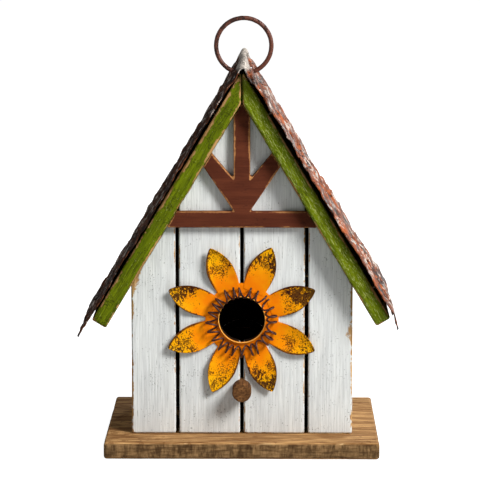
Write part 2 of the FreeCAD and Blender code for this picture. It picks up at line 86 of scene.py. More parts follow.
def paint(red: int, green: int, blue: int) -> Colour:
    """Turns a colour as a paint chart gives it into the linear one that shaders take.

    Args:
        red: Red, 0 to 255.
        green: Green, 0 to 255.
        blue: Blue, 0 to 255.

    Returns:
        The linear colour with full alpha.
    """
    def linear(value: int) -> float:
        """Undoes the chart's curve for one channel."""
        share = value / 255
        return share / 12.92 if share <= 0.04045 else ((share + 0.055) / 1.055) ** 2.4

    return (linear(red), linear(green), linear(blue), 1.0)


# ------------------------------------------------------------------ bench work


def hold(piece: bpy.types.Object) -> None:
    """Selects one piece alone and makes it active.

    Args:
        piece: The piece.
    """
    bpy.ops.object.select_all(action="DESELECT")
    piece.hide_set(False)
    piece.select_set(True)
    bpy.context.view_layer.objects.active = piece


def settle(piece: bpy.types.Object) -> bpy.types.Object:
    """Moves a piece's place, turn and size into its mesh.

    Args:
        piece: The piece.

    Returns:
        The same piece, at the origin.
    """
    hold(piece)
    bpy.ops.object.transform_apply(location=True, rotation=True, scale=True)
    return piece


def added(name: str, primitive: Callable[..., set[str]], **settings: object) -> bpy.types.Object:
    """Adds a primitive while nothing else is selected.

    Args:
        name: Name of the new piece.
        primitive: The operator that adds it.
        **settings: Its size, place and turn.

    Returns:
        The new piece.
    """
    bpy.ops.object.select_all(action="DESELECT")
    primitive(**settings)
    piece = bpy.context.active_object
    piece.name = name
    return piece


@contextmanager
def edit_mode(piece: bpy.types.Object, select: str = "SELECT") -> Iterator[None]:
    """Holds a piece in edit mode for the lines that follow.

    Args:
        piece: The piece.
        select: SELECT to start with all of it selected, DESELECT with none.

    Returns:
        A context; leaving it ends edit mode.
    """
    hold(piece)
    bpy.ops.object.mode_set(mode="EDIT")
    bpy.ops.mesh.select_all(action=select)
    yield
    bpy.ops.object.mode_set(mode="OBJECT")


def pick(piece: bpy.types.Object, kind: str, wanted: Callable[[object], bool]) -> None:
    """Selects the faces or edges that pass a test, on a piece in edit mode.

    Args:
        piece: The piece.
        kind: Either faces or edges.
        wanted: The test.
    """
    mesh = bmesh.from_edit_mesh(piece.data)
    for part in getattr(mesh, kind):
        part.select_set(wanted(part))
    bmesh.update_edit_mesh(piece.data)


def block(name: str, centre: Vector, size: Vector, turn: float = 0.0) -> bpy.types.Object:
    """Adds a block, which may be turned about the front-to-back axis.

    Args:
        name: Name of the new piece.
        centre: Its centre.
        size: Its size before it is turned.
        turn: The turn in radians.

    Returns:
        The block.
    """
    return settle(added(name, bpy.ops.mesh.primitive_cube_add, size=1.0, location=centre,
                        rotation=(0, turn, 0), scale=size))


def round_bar(name: str, start: Vector, end: Vector, radius: float) -> bpy.types.Object:
    """Adds a round bar from one point to another.

    Args:
        name: Name of the new piece.
        start: Centre of one end.
        end: Centre of the other end.
        radius: Its radius.

    Returns:
        The bar.
    """
    run = end - start
    return settle(added(name, bpy.ops.mesh.primitive_cylinder_add, vertices=ROUND_SIDES,
                        radius=radius, depth=run.length, location=(start + end) / 2,
                        rotation=run.to_track_quat("Z", "Y").to_euler()))


def copy_of_node(name: str, node: str) -> bpy.types.Object:
    """Copies a CAD node's mesh into a new piece and merges its loose triangles.

    Args:
        name: Name of the new piece.
        node: The CAD node.

    Returns:
        The copy, with flat faces in one piece.
    """
    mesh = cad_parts[node].data.copy()
    mesh.materials.clear()
    piece = bpy.data.objects.new(name, mesh)
    bpy.context.scene.collection.objects.link(piece)
    with edit_mode(piece):
        bpy.ops.mesh.remove_doubles(threshold=0.02 * MM)
        bpy.ops.mesh.dissolve_limited(angle_limit=math.radians(1))
    return piece


def saw(piece: bpy.types.Object, point: Vector, normal: Vector) -> None:
    """Saws a piece along a plane and drops what lies on the normal's side.

    Args:
        piece: The piece.
        point: A point on the plane.
        normal: The plane's normal, towards the waste.
    """
    with edit_mode(piece):
        bpy.ops.mesh.bisect(plane_co=point, plane_no=normal, use_fill=True, clear_outer=True)


def finish_with(piece: bpy.types.Object, kind: str, **settings: object) -> None:
    """Adds a modifier to a piece and applies it.

    Args:
        piece: The piece.
        kind: The modifier's type.
        **settings: Its settings.
    """
    hold(piece)
    modifier = piece.modifiers.new(kind.title(), kind)
    for key, value in settings.items():
        setattr(modifier, key, value)
    bpy.ops.object.modifier_apply(modifier=modifier.name)


def bore(piece: bpy.types.Object, start: Vector, end: Vector, radius: float) -> None:
    """Bores a round hole through a piece.

    Args:
        piece: The piece.
        start: One end of the bit's path.
        end: The other end.
        radius: The hole's radius.
    """
    bit = round_bar("bit", start, end, radius)
    finish_with(piece, "BOOLEAN", operation="DIFFERENCE", object=bit, solver="EXACT")
    bpy.data.objects.remove(bit)


def bore_through(piece: bpy.types.Object, node: str, height: float, radius: float) -> None:
    """Bores a round hole from front to back on the middle line.

    Args:
        piece: The piece.
        node: The CAD node that it stands for.
        height: Height of the hole's centre.
        radius: The hole's radius.
    """
    low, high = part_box(node)
    bore(piece, Vector((0, low.y - OVERRUN, height)), Vector((0, high.y + OVERRUN, height)),
         radius)


def join(pieces: list[bpy.types.Object], name: str) -> bpy.types.Object:
    """Joins several pieces into one.

    Args:
        pieces: The pieces.
        name: Name of the joined piece.

    Returns:
        The joined piece.
    """
    bpy.ops.object.select_all(action="DESELECT")
    for piece in pieces:
        piece.select_set(True)
    bpy.context.view_layer.objects.active = pieces[0]
    bpy.ops.object.join()
    pieces[0].name = name
    return pieces[0]


def shape_by(piece: bpy.types.Object, move: Callable[[Vector], Vector]) -> None:
    """Moves every point of a piece.

    Args:
        piece: The piece.
        move: Gives each point's new place.
    """
    for vertex in piece.data.vertices:
        vertex.co = move(vertex.co.copy())
    piece.data.update()


def note_on(piece: bpy.types.Object, name: str, measure: Callable[[Vector], float]) -> None:
    """Writes a number at every point of a piece, for its material to read.

    Args:
        piece: The piece.
        name: The attribute's name.
        measure: Gives the number at a point.
    """
    attribute = piece.data.attributes.new(name, "FLOAT", "POINT")
    values = [measure(vertex.co) for vertex in piece.data.vertices]
    attribute.data.foreach_set("value", values)


def face_outwards(piece: bpy.types.Object, merge: float = 0.01 * MM) -> None:
    """Merges doubles and turns all faces outwards.

    Args:
        piece: The piece.
        merge: Points closer than this are merged.
    """
    with edit_mode(piece):
        bpy.ops.mesh.remove_doubles(threshold=merge)
        bpy.ops.mesh.normals_make_consistent(inside=False)


def smooth(piece: bpy.types.Object, angle: float = 60.0) -> None:
    """Shades a piece smooth except across edges sharper than an angle in degrees."""
    hold(piece)
    bpy.ops.object.shade_smooth_by_angle(angle=math.radians(angle))


class Arrises:
    """The sharp edges of a piece, kept while it is remeshed, so that wear can follow them."""

    STEP = 1.0 * MM
    SHARP = math.radians(25)
    PATTERN = 160
    FULLNESS = 0.25

    def __init__(self, piece: bpy.types.Object) -> None:
        """Collects points along the sharp edges.

        Args:
            piece: The piece, still with clean edges.
        """
        mesh = bmesh.new()
        mesh.from_mesh(piece.data)
        points: list[Vector] = []
        for edge in mesh.edges:
            if len(edge.link_faces) == 2 and edge.calc_face_angle() < self.SHARP:
                continue
            start, end = (vertex.co.copy() for vertex in edge.verts)
            count = max(1, int((end - start).length / self.STEP))
            points += [start.lerp(end, index / count) for index in range(count + 1)]
        mesh.free()
        self.tree = kdtree.KDTree(len(points))
        for index, point in enumerate(points):
            self.tree.insert(point, index)
        self.tree.balance()

    def distance(self, point: Vector) -> float:
        """Distance from a point to the nearest sharp edge."""
        return self.tree.find(point)[2]

    def chip(self, piece: bpy.types.Object, reach: float, depth: float, seed: float) -> None:
        """Knocks small hollows into the piece along its sharp edges.

        Args:
            piece: The remeshed piece.
            reach: How far from an edge the wear goes.
            depth: The deepest hollow.
            seed: Shifts the pattern.
        """
        offset = Vector((seed, seed * 0.7, -seed))
        normals = [vertex.normal.copy() for vertex in piece.data.vertices]
        for vertex, normal in zip(piece.data.vertices, normals):
            away = self.distance(vertex.co)
            if away >= reach:
                continue
            rough = max(0.0, noise.noise(vertex.co * self.PATTERN + offset) + self.FULLNESS)
            vertex.co -= normal * depth * rough * (1 - away / reach)
        piece.data.update()


# ------------------------------------------------------------------ shader helpers


class Nodes:
    """Places nodes in one tree and joins them."""

    def __init__(self, tree: bpy.types.NodeTree) -> None:
        """Keeps the tree.

        Args:
            tree: A material's or a group's node tree.
        """
        self.tree = tree

    def add(self, kind: str, **settings: object) -> bpy.types.Node:
        """Adds a node.

        Args:
            kind: The node's type.
            **settings: Its settings.

        Returns:
            The node.
        """
        node = self.tree.nodes.new(kind)
        for key, value in settings.items():
            setattr(node, key, value)
        return node

    def feed(self, socket: bpy.types.NodeSocket, value: object) -> None:
        """Links an output to a socket, or sets the socket to a plain value.

        Args:
            socket: The input.
            value: An output socket or a value.
        """
        if isinstance(value, bpy.types.NodeSocket):
            self.tree.links.new(value, socket)
        else:
            socket.default_value = value

    def work_out(self, operation: str, first: object, second: object) -> bpy.types.NodeSocket:
        """Works out one arithmetic step.

        Args:
            operation: The Math node's operation.
            first: First number or output.
            second: Second number or output.

        Returns:
            The result.
        """
        node = self.add("ShaderNodeMath", operation=operation)
        self.feed(node.inputs[0], first)
        self.feed(node.inputs[1], second)
        return node.outputs[0]

    def times(self, first: object, second: object) -> bpy.types.NodeSocket:
        """Multiplies two numbers."""
        return self.work_out("MULTIPLY", first, second)

    def plus(self, *numbers: object) -> bpy.types.NodeSocket:
        """Adds numbers up."""
        return reduce(lambda total, number: self.work_out("ADD", total, number), numbers)

    def minus(self, first: object, second: object) -> bpy.types.NodeSocket:
        """Takes the second number from the first."""
        return self.work_out("SUBTRACT", first, second)

    def larger(self, first: object, second: object) -> bpy.types.NodeSocket:
        """The larger of two numbers."""
        return self.work_out("MAXIMUM", first, second)

    def blend(self, share: object, first: object, second: object) -> bpy.types.NodeSocket:
        """Mixes two colours.

        Args:
            share: How much of the second colour.
            first: First colour or output.
            second: Second colour or output.

        Returns:
            The mixed colour.
        """
        node = self.add("ShaderNodeMix", data_type="RGBA")
        # The node keeps sockets for every data type; 6, 7 and output 2 are its colours.
        self.feed(node.inputs[0], share)
        self.feed(node.inputs[6], first)
        self.feed(node.inputs[7], second)
        return node.outputs[2]

    def over(self, colour: object, top: object, mask: object,
             strength: object) -> bpy.types.NodeSocket:
        """Lays a second colour over the first where a mask lets it.

        Args:
            colour: The colour below.
            top: The colour on top.
            mask: Where it goes, 0 to 1.
            strength: How much of it shows there.

        Returns:
            The mixed colour.
        """
        return self.blend(self.times(mask, strength), colour, top)

    def stretch(self, value: object, low: float, high: float, to_low: float = 0.0,
                to_high: float = 1.0) -> bpy.types.NodeSocket:
        """Maps a range smoothly onto another and clamps it.

        Args:
            value: The number or output.
            low: Start of the range.
            high: End of the range.
            to_low: Result at the start.
            to_high: Result at the end.

        Returns:
            The mapped number.
        """
        node = self.add("ShaderNodeMapRange", interpolation_type="SMOOTHSTEP")
        for socket, number in zip(node.inputs, (value, low, high, to_low, to_high)):
            self.feed(socket, number)
        return node.outputs[0]

    def between(self, share: object, start: float, end: float) -> bpy.types.NodeSocket:
        """Turns a share of 0 to 1 into a number between two others."""
        return self.stretch(share, 0.0, 1.0, start, end)

    def clouds(self, vector: object, scale: object, detail: float = 4.0,
               rough: float = 0.55) -> bpy.types.NodeSocket:
        """Adds a noise pattern.

        Args:
            vector: Where it is read.
            scale: Its scale.
            detail: Its detail.
            rough: Its roughness.

        Returns:
            The pattern, about 0.2 to 0.8.
        """
        node = self.add("ShaderNodeTexNoise")
        self.feed(node.inputs["Vector"], vector)
        self.feed(node.inputs["Scale"], scale)
        node.inputs["Detail"].default_value = detail
        node.inputs["Roughness"].default_value = rough
        return node.outputs["Fac"]

    def scaled(self, vector: object, scale: Triple) -> bpy.types.NodeSocket:
        """Stretches a vector along its axes.

        Args:
            vector: The vector.
            scale: Factor along each axis.

        Returns:
            The stretched vector.
        """
        node = self.add("ShaderNodeVectorMath", operation="MULTIPLY")
        self.feed(node.inputs[0], vector)
        node.inputs[1].default_value = scale
        return node.outputs[0]

    def place(self, turn: Triple = (0, 0, 0)) -> bpy.types.NodeSocket:
        """Object coordinates, turned.

        Args:
            turn: Rotation in radians.

        Returns:
            The coordinates.
        """
        coordinates = self.add("ShaderNodeTexCoord")
        mapping = self.add("ShaderNodeMapping")
        mapping.inputs["Rotation"].default_value = turn
        self.feed(mapping.inputs["Vector"], coordinates.outputs["Object"])
        return mapping.outputs[0]

    def noted(self, name: str) -> bpy.types.NodeSocket:
        """The number that a piece's attribute holds."""
        return self.add("ShaderNodeAttribute", attribute_name=name).outputs["Fac"]

    def effect(self, group: bpy.types.NodeTree, **inputs: object) -> bpy.types.Node:
        """Places a shared effect.

        Args:
            group: The effect's node group.
            **inputs: Its inputs by name.

        Returns:
            The group's node.
        """
        node = self.add("ShaderNodeGroup", node_tree=group)
        for key, value in inputs.items():
            self.feed(node.inputs[key], value)
        return node

    def mask(self, group: bpy.types.NodeTree, **inputs: object) -> bpy.types.NodeSocket:
        """Places a shared effect that puts out one mask."""
        return self.effect(group, **inputs).outputs["Mask"]


class Effects:
    """The node groups that several materials share, each built once."""

    def __init__(self) -> None:
        """Builds every group."""
        self.grain = self._grain()
        self.wear = self._wear()
        self.specks = self._specks()
        self.scratches = self._scratches()

    @staticmethod
    def _start(name: str, inputs: dict[str, tuple[str, object]],
               outputs: Iterable[str]) -> tuple[bpy.types.NodeTree, Nodes, bpy.types.Node,
                                                bpy.types.Node]:
        """Starts a group with its sockets.

        Args:
            name: The group's name.
            inputs: Socket type and default of each input.
            outputs: Names of the number outputs.

        Returns:
            The tree, its node helper, the group input and the group output.
        """
        tree = bpy.data.node_groups.new(name, "ShaderNodeTree")
        for key, (kind, default) in inputs.items():
            socket = tree.interface.new_socket(key, in_out="INPUT", socket_type=kind)
            if default is not None:
                socket.default_value = default
        for key in outputs:
            tree.interface.new_socket(key, in_out="OUTPUT", socket_type="NodeSocketFloat")
        nodes = Nodes(tree)
        return tree, nodes, nodes.add("NodeGroupInput"), nodes.add("NodeGroupOutput")

    def _grain(self) -> bpy.types.NodeTree:
        """Wood grain that runs up the third axis.

        Returns:
            A group with fine lines, broad bands and the height of the raised grain.
        """
        tree, nodes, start, end = self._start("wood_grain", {
            "Vector": ("NodeSocketVector", None), "Lines": ("NodeSocketFloat", 900.0)},
            ("Fine", "Bands", "Height"))
        vector, lines = start.outputs["Vector"], start.outputs["Lines"]
        fine = nodes.clouds(nodes.scaled(vector, (1.0, 1.0, 0.045)), lines, 5.0, 0.6)
        bands = nodes.clouds(nodes.scaled(vector, (1.0, 1.0, 0.16)), nodes.times(lines, 0.14), 3.0)
        nodes.feed(end.inputs["Fine"], nodes.stretch(fine, 0.32, 0.68))
        nodes.feed(end.inputs["Bands"], nodes.stretch(bands, 0.36, 0.64))
        nodes.feed(end.inputs["Height"], nodes.plus(fine, nodes.times(bands, 0.5)))
        return tree

    def _wear(self) -> bpy.types.NodeTree:
        """Ragged wear along sharp edges.

        Returns:
            A group that gives 1 where the finish is worn through.
        """
        tree, nodes, start, end = self._start("edge_wear", {
            "Vector": ("NodeSocketVector", None), "Edge": ("NodeSocketFloat", 0.1),
            "Width": ("NodeSocketFloat", 0.0015), "Scale": ("NodeSocketFloat", 260.0)}, ("Mask",))
        vector, scale = start.outputs["Vector"], start.outputs["Scale"]
        edge, width = start.outputs["Edge"], start.outputs["Width"]
        broad = nodes.clouds(vector, nodes.times(scale, 0.2), 2.0)
        fine = nodes.clouds(vector, scale, 5.0, 0.65)
        ragged = nodes.plus(nodes.stretch(broad, 0.3, 0.7, 0.35, 1.15),
                            nodes.stretch(fine, 0.3, 0.7, -0.3, 0.3))
        over = nodes.work_out("DIVIDE", nodes.minus(nodes.times(width, ragged), edge), width)
        nodes.feed(end.inputs["Mask"], nodes.stretch(over, -0.12, 0.18))
        return tree

    def _specks(self) -> bpy.types.NodeTree:
        """Irregular specks and spots.

        Returns:
            A group that gives 1 inside a speck; Amount runs from 0, none, to 1, nearly all.
        """
        tree, nodes, start, end = self._start("specks", {
            "Vector": ("NodeSocketVector", None), "Scale": ("NodeSocketFloat", 500.0),
            "Amount": ("NodeSocketFloat", 0.3)}, ("Mask",))
        vector, scale = start.outputs["Vector"], start.outputs["Scale"]
        spots = nodes.clouds(vector, scale, 3.0, 0.6)
        patch = nodes.clouds(vector, nodes.times(scale, 0.12), 2.0)
        limit = nodes.minus(0.78, nodes.times(start.outputs["Amount"], 0.45))
        level = nodes.plus(spots, nodes.stretch(patch, 0.35, 0.65, -0.08, 0.08))
        nodes.feed(end.inputs["Mask"], nodes.stretch(nodes.minus(level, limit), 0.0, 0.035))
        return tree

    def _scratches(self) -> bpy.types.NodeTree:
        """Long thin scratches along the third axis.

        Returns:
            A group that gives 1 in a scratch.
        """
        tree, nodes, start, end = self._start("scratches", {
            "Vector": ("NodeSocketVector", None), "Scale": ("NodeSocketFloat", 700.0),
            "Amount": ("NodeSocketFloat", 0.3)}, ("Mask",))
        long = nodes.scaled(start.outputs["Vector"], (1.0, 1.0, 0.07))
        lines = nodes.clouds(long, start.outputs["Scale"], 3.0, 0.7)
        limit = nodes.minus(0.74, nodes.times(start.outputs["Amount"], 0.3))
        nodes.feed(end.inputs["Mask"], nodes.stretch(nodes.minus(lines, limit), 0.0, 0.06))
        return tree


def new_material(name: str) -> tuple[bpy.types.Material, Nodes, bpy.types.Node]:
    """Starts a material with its shader.

    Args:
        name: The material's name.

    Returns:
        The material, its node helper and its Principled shader.
    """
    material = bpy.data.materials.new(name)
    material.use_nodes = True
    nodes = Nodes(material.node_tree)
    return material, nodes, material.node_tree.nodes["Principled BSDF"]


def surface(nodes: Nodes, shader: bpy.types.Node, colour: bpy.types.NodeSocket,
            rough: bpy.types.NodeSocket, gloss: float) -> None:
    """Gives a shader its colour, its roughness and how much light it throws back.

    Args:
        nodes: The material's node helper.
        shader: Its shader.
        colour: The colour pattern.
        rough: The roughness pattern.
        gloss: The specular level, 0.5 for a common varnish.
    """
    nodes.feed(shader.inputs["Base Color"], colour)
    nodes.feed(shader.inputs["Roughness"], rough)
    shader.inputs["Specular IOR Level"].default_value = gloss


def relief(nodes: Nodes, shader: bpy.types.Node, height: bpy.types.NodeSocket, strength: float,
           distance: float) -> None:
    """Gives a shader a bump.

    Args:
        nodes: The material's node helper.
        shader: Its shader.
        height: The height pattern.
        strength: The bump's strength.
        distance: The bump's height in metres.
    """
    bump = nodes.add("ShaderNodeBump")
    bump.inputs["Strength"].default_value = strength
    bump.inputs["Distance"].default_value = distance
    nodes.feed(bump.inputs["Height"], height)
    nodes.feed(shader.inputs["Normal"], bump.outputs["Normal"])


# ------------------------------------------------------------------ finishes


@dataclass(frozen=True)
class WornPaint:
    """Thin paint over wood, rubbed through on the arrises and along the grain."""

    name: str
    coat: Colour
    coat_shade: Colour
    under: Colour
    under_dark: Colour
    run: GrainRun
    wear: float = 1.4 * MM
    grain_lines: float = 900.0
    grain_through: float = 0.25
    scuffs: float = 0.2
    scuff_colour: Colour = paint(88, 84, 78)
    streaks: float = 0.0
    streak_colour: Colour = paint(190, 196, 120)
    rough: float = 0.72
    gloss: float = 0.06
    raised: float = 0.5

    def material(self, effects: Effects) -> bpy.types.Material:
        """Builds the finish.

        Args:
            effects: The shared node groups.

        Returns:
            The material.
        """
        material, nodes, shader = new_material(self.name)
        place = nodes.place(self.run.value)
        grain = nodes.effect(effects.grain, Vector=place, Lines=self.grain_lines).outputs
        worn = nodes.mask(effects.wear, Vector=place, Edge=nodes.noted("edge"), Width=self.wear)
        scratches = nodes.mask(effects.scratches, Vector=place, Scale=self.grain_lines * 1.3,
                               Amount=self.scuffs)
        specks = nodes.mask(effects.specks, Vector=place, Scale=850.0, Amount=self.scuffs * 0.6)
        coat = nodes.blend(grain["Bands"], self.coat, self.coat_shade)
        for mask, strength in ((nodes.minus(1.0, grain["Fine"]), self.grain_through),
                               (scratches, 0.55), (specks, 0.7)):
            coat = nodes.over(coat, self.scuff_colour, mask, strength)
        if self.streaks:
            pale = nodes.mask(effects.scratches, Vector=nodes.scaled(place, (1.0, 1.0, 2.2)),
                              Scale=self.grain_lines * 2.2, Amount=self.streaks)
            coat = nodes.over(coat, self.streak_colour, pale, 0.6)
        wood = nodes.blend(grain["Fine"], self.under_dark, self.under)
        surface(nodes, shader, nodes.blend(worn, coat, wood),
                nodes.between(grain["Fine"], self.rough + 0.12, self.rough), self.gloss)
        height = nodes.minus(grain["Height"], nodes.times(worn, 0.5))
        relief(nodes, shader, height, self.raised, 0.5 * MM)
        return material


@dataclass(frozen=True)
class BareWood:
    """Unpainted wood: stained, oiled or fresh from the saw; the nearly black inside finish is
    painted shade.
    """

    name: str
    light: Colour
    dark: Colour
    run: GrainRun
    arris: Colour = paint(214, 178, 128)
    wear: float = 1.2 * MM
    grain_lines: float = 700.0
    mottle: float = 0.3
    rough: float = 0.7
    worn_edges: bool = True
    saw_marks: bool = False
    saw_dark: Colour = paint(58, 42, 26)
    saw_pale: Colour = paint(146, 114, 76)
    gloss: float = 0.06

    def sawn(self, nodes: Nodes) -> bpy.types.NodeSocket:
        """Colours the upright ripples and long smears that a saw leaves.

        Args:
            nodes: The material's node helper.

        Returns:
            The colour of a sawn face.
        """
        ripples = nodes.clouds(nodes.scaled(nodes.place(), (1.0, 0.4, 0.3)), 420.0, 4.0, 0.6)
        smears = nodes.clouds(nodes.scaled(nodes.place(), (0.2, 0.2, 1.0)), 480.0, 4.0, 0.6)
        mark = nodes.times(nodes.stretch(ripples, 0.3, 0.7),
                           nodes.stretch(smears, 0.3, 0.65, 0.15, 1.2))
        return nodes.blend(mark, self.saw_dark, self.saw_pale)

    def material(self, effects: Effects) -> bpy.types.Material:
        """Builds the finish.

        Args:
            effects: The shared node groups.

        Returns:
            The material.
        """
        material, nodes, shader = new_material(self.name)
        place = nodes.place(self.run.value)
        grain = nodes.effect(effects.grain, Vector=place, Lines=self.grain_lines).outputs
        stains = nodes.mask(effects.specks, Vector=place, Scale=150.0, Amount=self.mottle)
        scratches = nodes.mask(effects.scratches, Vector=place, Scale=500.0, Amount=self.mottle)
        tone = nodes.times(grain["Fine"], nodes.between(grain["Bands"], 0.45, 1.0))
        wood = nodes.blend(tone, self.dark, self.light)
        wood = nodes.over(wood, self.dark, stains, 0.5)
        wood = nodes.over(wood, self.arris, scratches, 0.5)
        if self.saw_marks:
            wood = nodes.over(wood, self.sawn(nodes), nodes.noted("upright"), 0.88)
        if self.worn_edges:
            worn = nodes.mask(effects.wear, Vector=place, Edge=nodes.noted("edge"),
                              Width=self.wear)
            wood = nodes.over(wood, self.arris, worn, 0.8)
        surface(nodes, shader, wood, nodes.between(grain["Bands"], self.rough + 0.1, self.rough),
                self.gloss)
        relief(nodes, shader, grain["Height"], 0.35, 0.5 * MM)
        return material


@dataclass(frozen=True)
class RustyTin:
    """Weathered tin sheet: rust in browns and oranges over grey metal, streaked downhill, with
    painted shade on the left slope and in the creases and painted glints on the crests.
    """

    name: str = "rusty_tin"
    # deep is dark rust for the pits and, in the sheet's creases, painted shade.
    deep: Colour = paint(34, 20, 14)
    # brown is the left slope's painted shade, russet the right slope's lit colour.
    brown: Colour = paint(96, 58, 38)
    russet: Colour = paint(120, 66, 42)
    orange: Colour = paint(174, 94, 54)
    grey: Colour = paint(140, 134, 126)
    pale: Colour = paint(214, 205, 194)
    gloss: float = 0.04
    # Across this band of X the colours turn from the left slope's painted shade to the right
    # slope's lit tones.
    shade_fade_from: float = -4.0 * MM
    shade_fade_to: float = 8.0 * MM
    ridge_from: float = 269.0 * MM
    ridge_to: float = 272.5 * MM

    def material(self, effects: Effects) -> bpy.types.Material:
        """Builds the finish.

        Args:
            effects: The shared node groups.

        Returns:
            The material.
        """
        material, nodes, shader = new_material(self.name)
        place = nodes.place()
        drawn = nodes.scaled(place, (0.4, 0.3, 0.4))
        broad = nodes.clouds(drawn, 70.0, 3.0, 0.6)
        fine = nodes.clouds(drawn, 200.0, 4.0, 0.65)
        glint = nodes.clouds(drawn, 330.0, 2.0)
        grit = nodes.clouds(place, 650.0, 4.0, 0.65)
        crest = nodes.noted("crest")
        axes = nodes.add("ShaderNodeSeparateXYZ")
        nodes.feed(axes.inputs[0], place)
        # 0 on the left slope and 1 on the right one. The left slope is painted in shade, in darker
        # browns with little orange; the right one is painted as lit, in orange rust with less bare
        # metal.
        right = nodes.stretch(axes.outputs["X"], self.shade_fade_from, self.shade_fade_to)
        rough = nodes.times(nodes.minus(grit, 0.5), 0.45)
        # Low, creased parts of the sheet go towards the deep colour: painted shade in the creases,
        # mixed with random dark rust.
        raised = nodes.plus(nodes.times(crest, 0.25), nodes.times(fine, 0.85), rough)
        colour = nodes.blend(nodes.stretch(raised, 0.45, 0.62), self.deep,
                             nodes.blend(right, self.brown, self.russet))
        rusted = nodes.stretch(nodes.plus(fine, nodes.times(broad, 0.5), rough), 0.74, 0.9)
        colour = nodes.over(colour, self.orange, rusted, nodes.between(right, 0.12, 0.95))
        # Pale marks on the higher crests: partly bare scoured metal, partly painted glints of
        # light.
        level = nodes.plus(nodes.times(crest, 0.35), glint, rough)
        scoured_and_glinting = nodes.stretch(nodes.plus(level, nodes.between(right, 0.08, 0.01)), 0.76, 0.9)
        shine = nodes.times(scoured_and_glinting, nodes.stretch(broad, 0.35, 0.6, 0.4, 1.0))
        colour = nodes.over(colour, self.pale, shine, nodes.between(right, 1.0, 0.85))
        pits = nodes.mask(effects.specks, Vector=drawn, Scale=420.0, Amount=0.5)
        colour = nodes.over(colour, self.deep, pits, 0.75)
        ridge = nodes.stretch(axes.outputs["Z"], self.ridge_from, self.ridge_to)
        bare = nodes.times(ridge, nodes.stretch(fine, 0.35, 0.6, 0.55, 1.0))
        colour = nodes.blend(bare, colour, nodes.blend(nodes.stretch(grit, 0.35, 0.6), self.grey,
                                                       self.pale))
        surface(nodes, shader, colour, nodes.stretch(fine, 0.3, 0.7, 0.45, 0.85), self.gloss)
        nodes.feed(shader.inputs["Metallic"], nodes.times(nodes.larger(bare, shine), 0.12))
        relief(nodes, shader, nodes.plus(fine, nodes.times(grit, 0.3)), 0.9, 1.0 * MM)
        return material


@dataclass(frozen=True)
class FlowerEnamel:
    """Orange enamel that pales to yellow outwards, speckled with rust towards tips and rims, with a
    painted highlight on the collar's lip.
    """

    name: str = "flower_enamel"
    heart: Colour = paint(240, 126, 0)
    petal: Colour = paint(244, 154, 0)
    outer: Colour = paint(240, 172, 0)
    rust: Colour = paint(64, 24, 10)
    dark: Colour = paint(44, 16, 14)
    # Pale yellow painted highlight, laid on the collar's lip.
    bright: Colour = paint(255, 214, 110)
    gloss: float = 0.08

    def material(self, effects: Effects) -> bpy.types.Material:
        """Builds the finish.

        Args:
            effects: The shared node groups.

        Returns:
            The material.
        """
        material, nodes, shader = new_material(self.name)
        place = nodes.place()
        reach, rim = nodes.noted("reach"), nodes.noted("rim")
        soft = nodes.clouds(place, 130.0, 4.0)
        wander = nodes.minus(soft, 0.5)
        colour = nodes.blend(nodes.stretch(nodes.plus(reach, nodes.times(wander, 0.9)), 0.15, 0.6),
                             self.heart, self.petal)
        colour = nodes.blend(nodes.stretch(nodes.plus(reach, nodes.times(wander, 0.6)), 0.5, 0.95),
                             colour, self.outer)
        uneven = nodes.times(nodes.minus(nodes.clouds(place, 60.0, 2.0), 0.5), 0.9)
        outwards = nodes.stretch(nodes.plus(reach, uneven), 0.22, 0.92)
        sides = nodes.times(nodes.work_out("POWER", rim, 5.0), nodes.stretch(reach, 0.15, 0.6))
        edge = nodes.larger(outwards, sides)
        spots = nodes.mask(effects.specks, Vector=place, Scale=1150.0,
                           Amount=nodes.stretch(edge, 0.0, 0.55, 0.08, 0.6))
        density = nodes.plus(0.1, nodes.times(edge, 0.8))
        blots = nodes.mask(effects.specks, Vector=nodes.scaled(place, (1.3, 1.0, 0.8)),
                           Scale=520.0, Amount=nodes.times(density, nodes.noted("age")))
        seam = nodes.times(nodes.stretch(rim, 0.88, 0.97), nodes.stretch(reach, 0.2, 0.4))
        # The collar entry paints a highlight on its lip; the other entries are rust.
        for top, mask, strength in ((self.rust, spots, 0.85), (self.dark, blots, 0.9),
                                    (self.rust, seam, 0.85),
                                    (self.bright, nodes.noted("collar"), 0.6)):
            colour = nodes.over(colour, top, mask, strength)
        worn = nodes.larger(spots, blots)
        surface(nodes, shader, colour, nodes.between(worn, 0.42, 0.85), self.gloss)
        relief(nodes, shader, nodes.minus(nodes.times(soft, 0.6), worn), 0.3, 0.3 * MM)
        return material


@dataclass(frozen=True)
class BareMetal:
    """Wire, nails and screws: metal with blooms of rust."""

    name: str
    metal: Colour
    rust: Colour
    bloom: float
    scale: float = 300.0
    metallic: float = 0.8
    rough: float = 0.45
    gloss: float = 0.5

    def material(self, effects: Effects) -> bpy.types.Material:
        """Builds the finish.

        Args:
            effects: The shared node groups.

        Returns:
            The material.
        """
        material, nodes, shader = new_material(self.name)
        place = nodes.place()
        rust = nodes.mask(effects.specks, Vector=place, Scale=self.scale, Amount=self.bloom)
        tone = nodes.clouds(place, self.scale * 2.5, 4.0)
        metal = nodes.blend(nodes.stretch(tone, 0.35, 0.65, 0.0, 0.5), self.metal, self.rust)
        surface(nodes, shader, nodes.blend(rust, metal, self.rust),
                nodes.between(rust, self.rough, 0.85), self.gloss)
        nodes.feed(shader.inputs["Metallic"], nodes.between(rust, self.metallic, 0.1))
        relief(nodes, shader, tone, 0.4, 0.2 * MM)
        return material


# ------------------------------------------------------------------ the gable


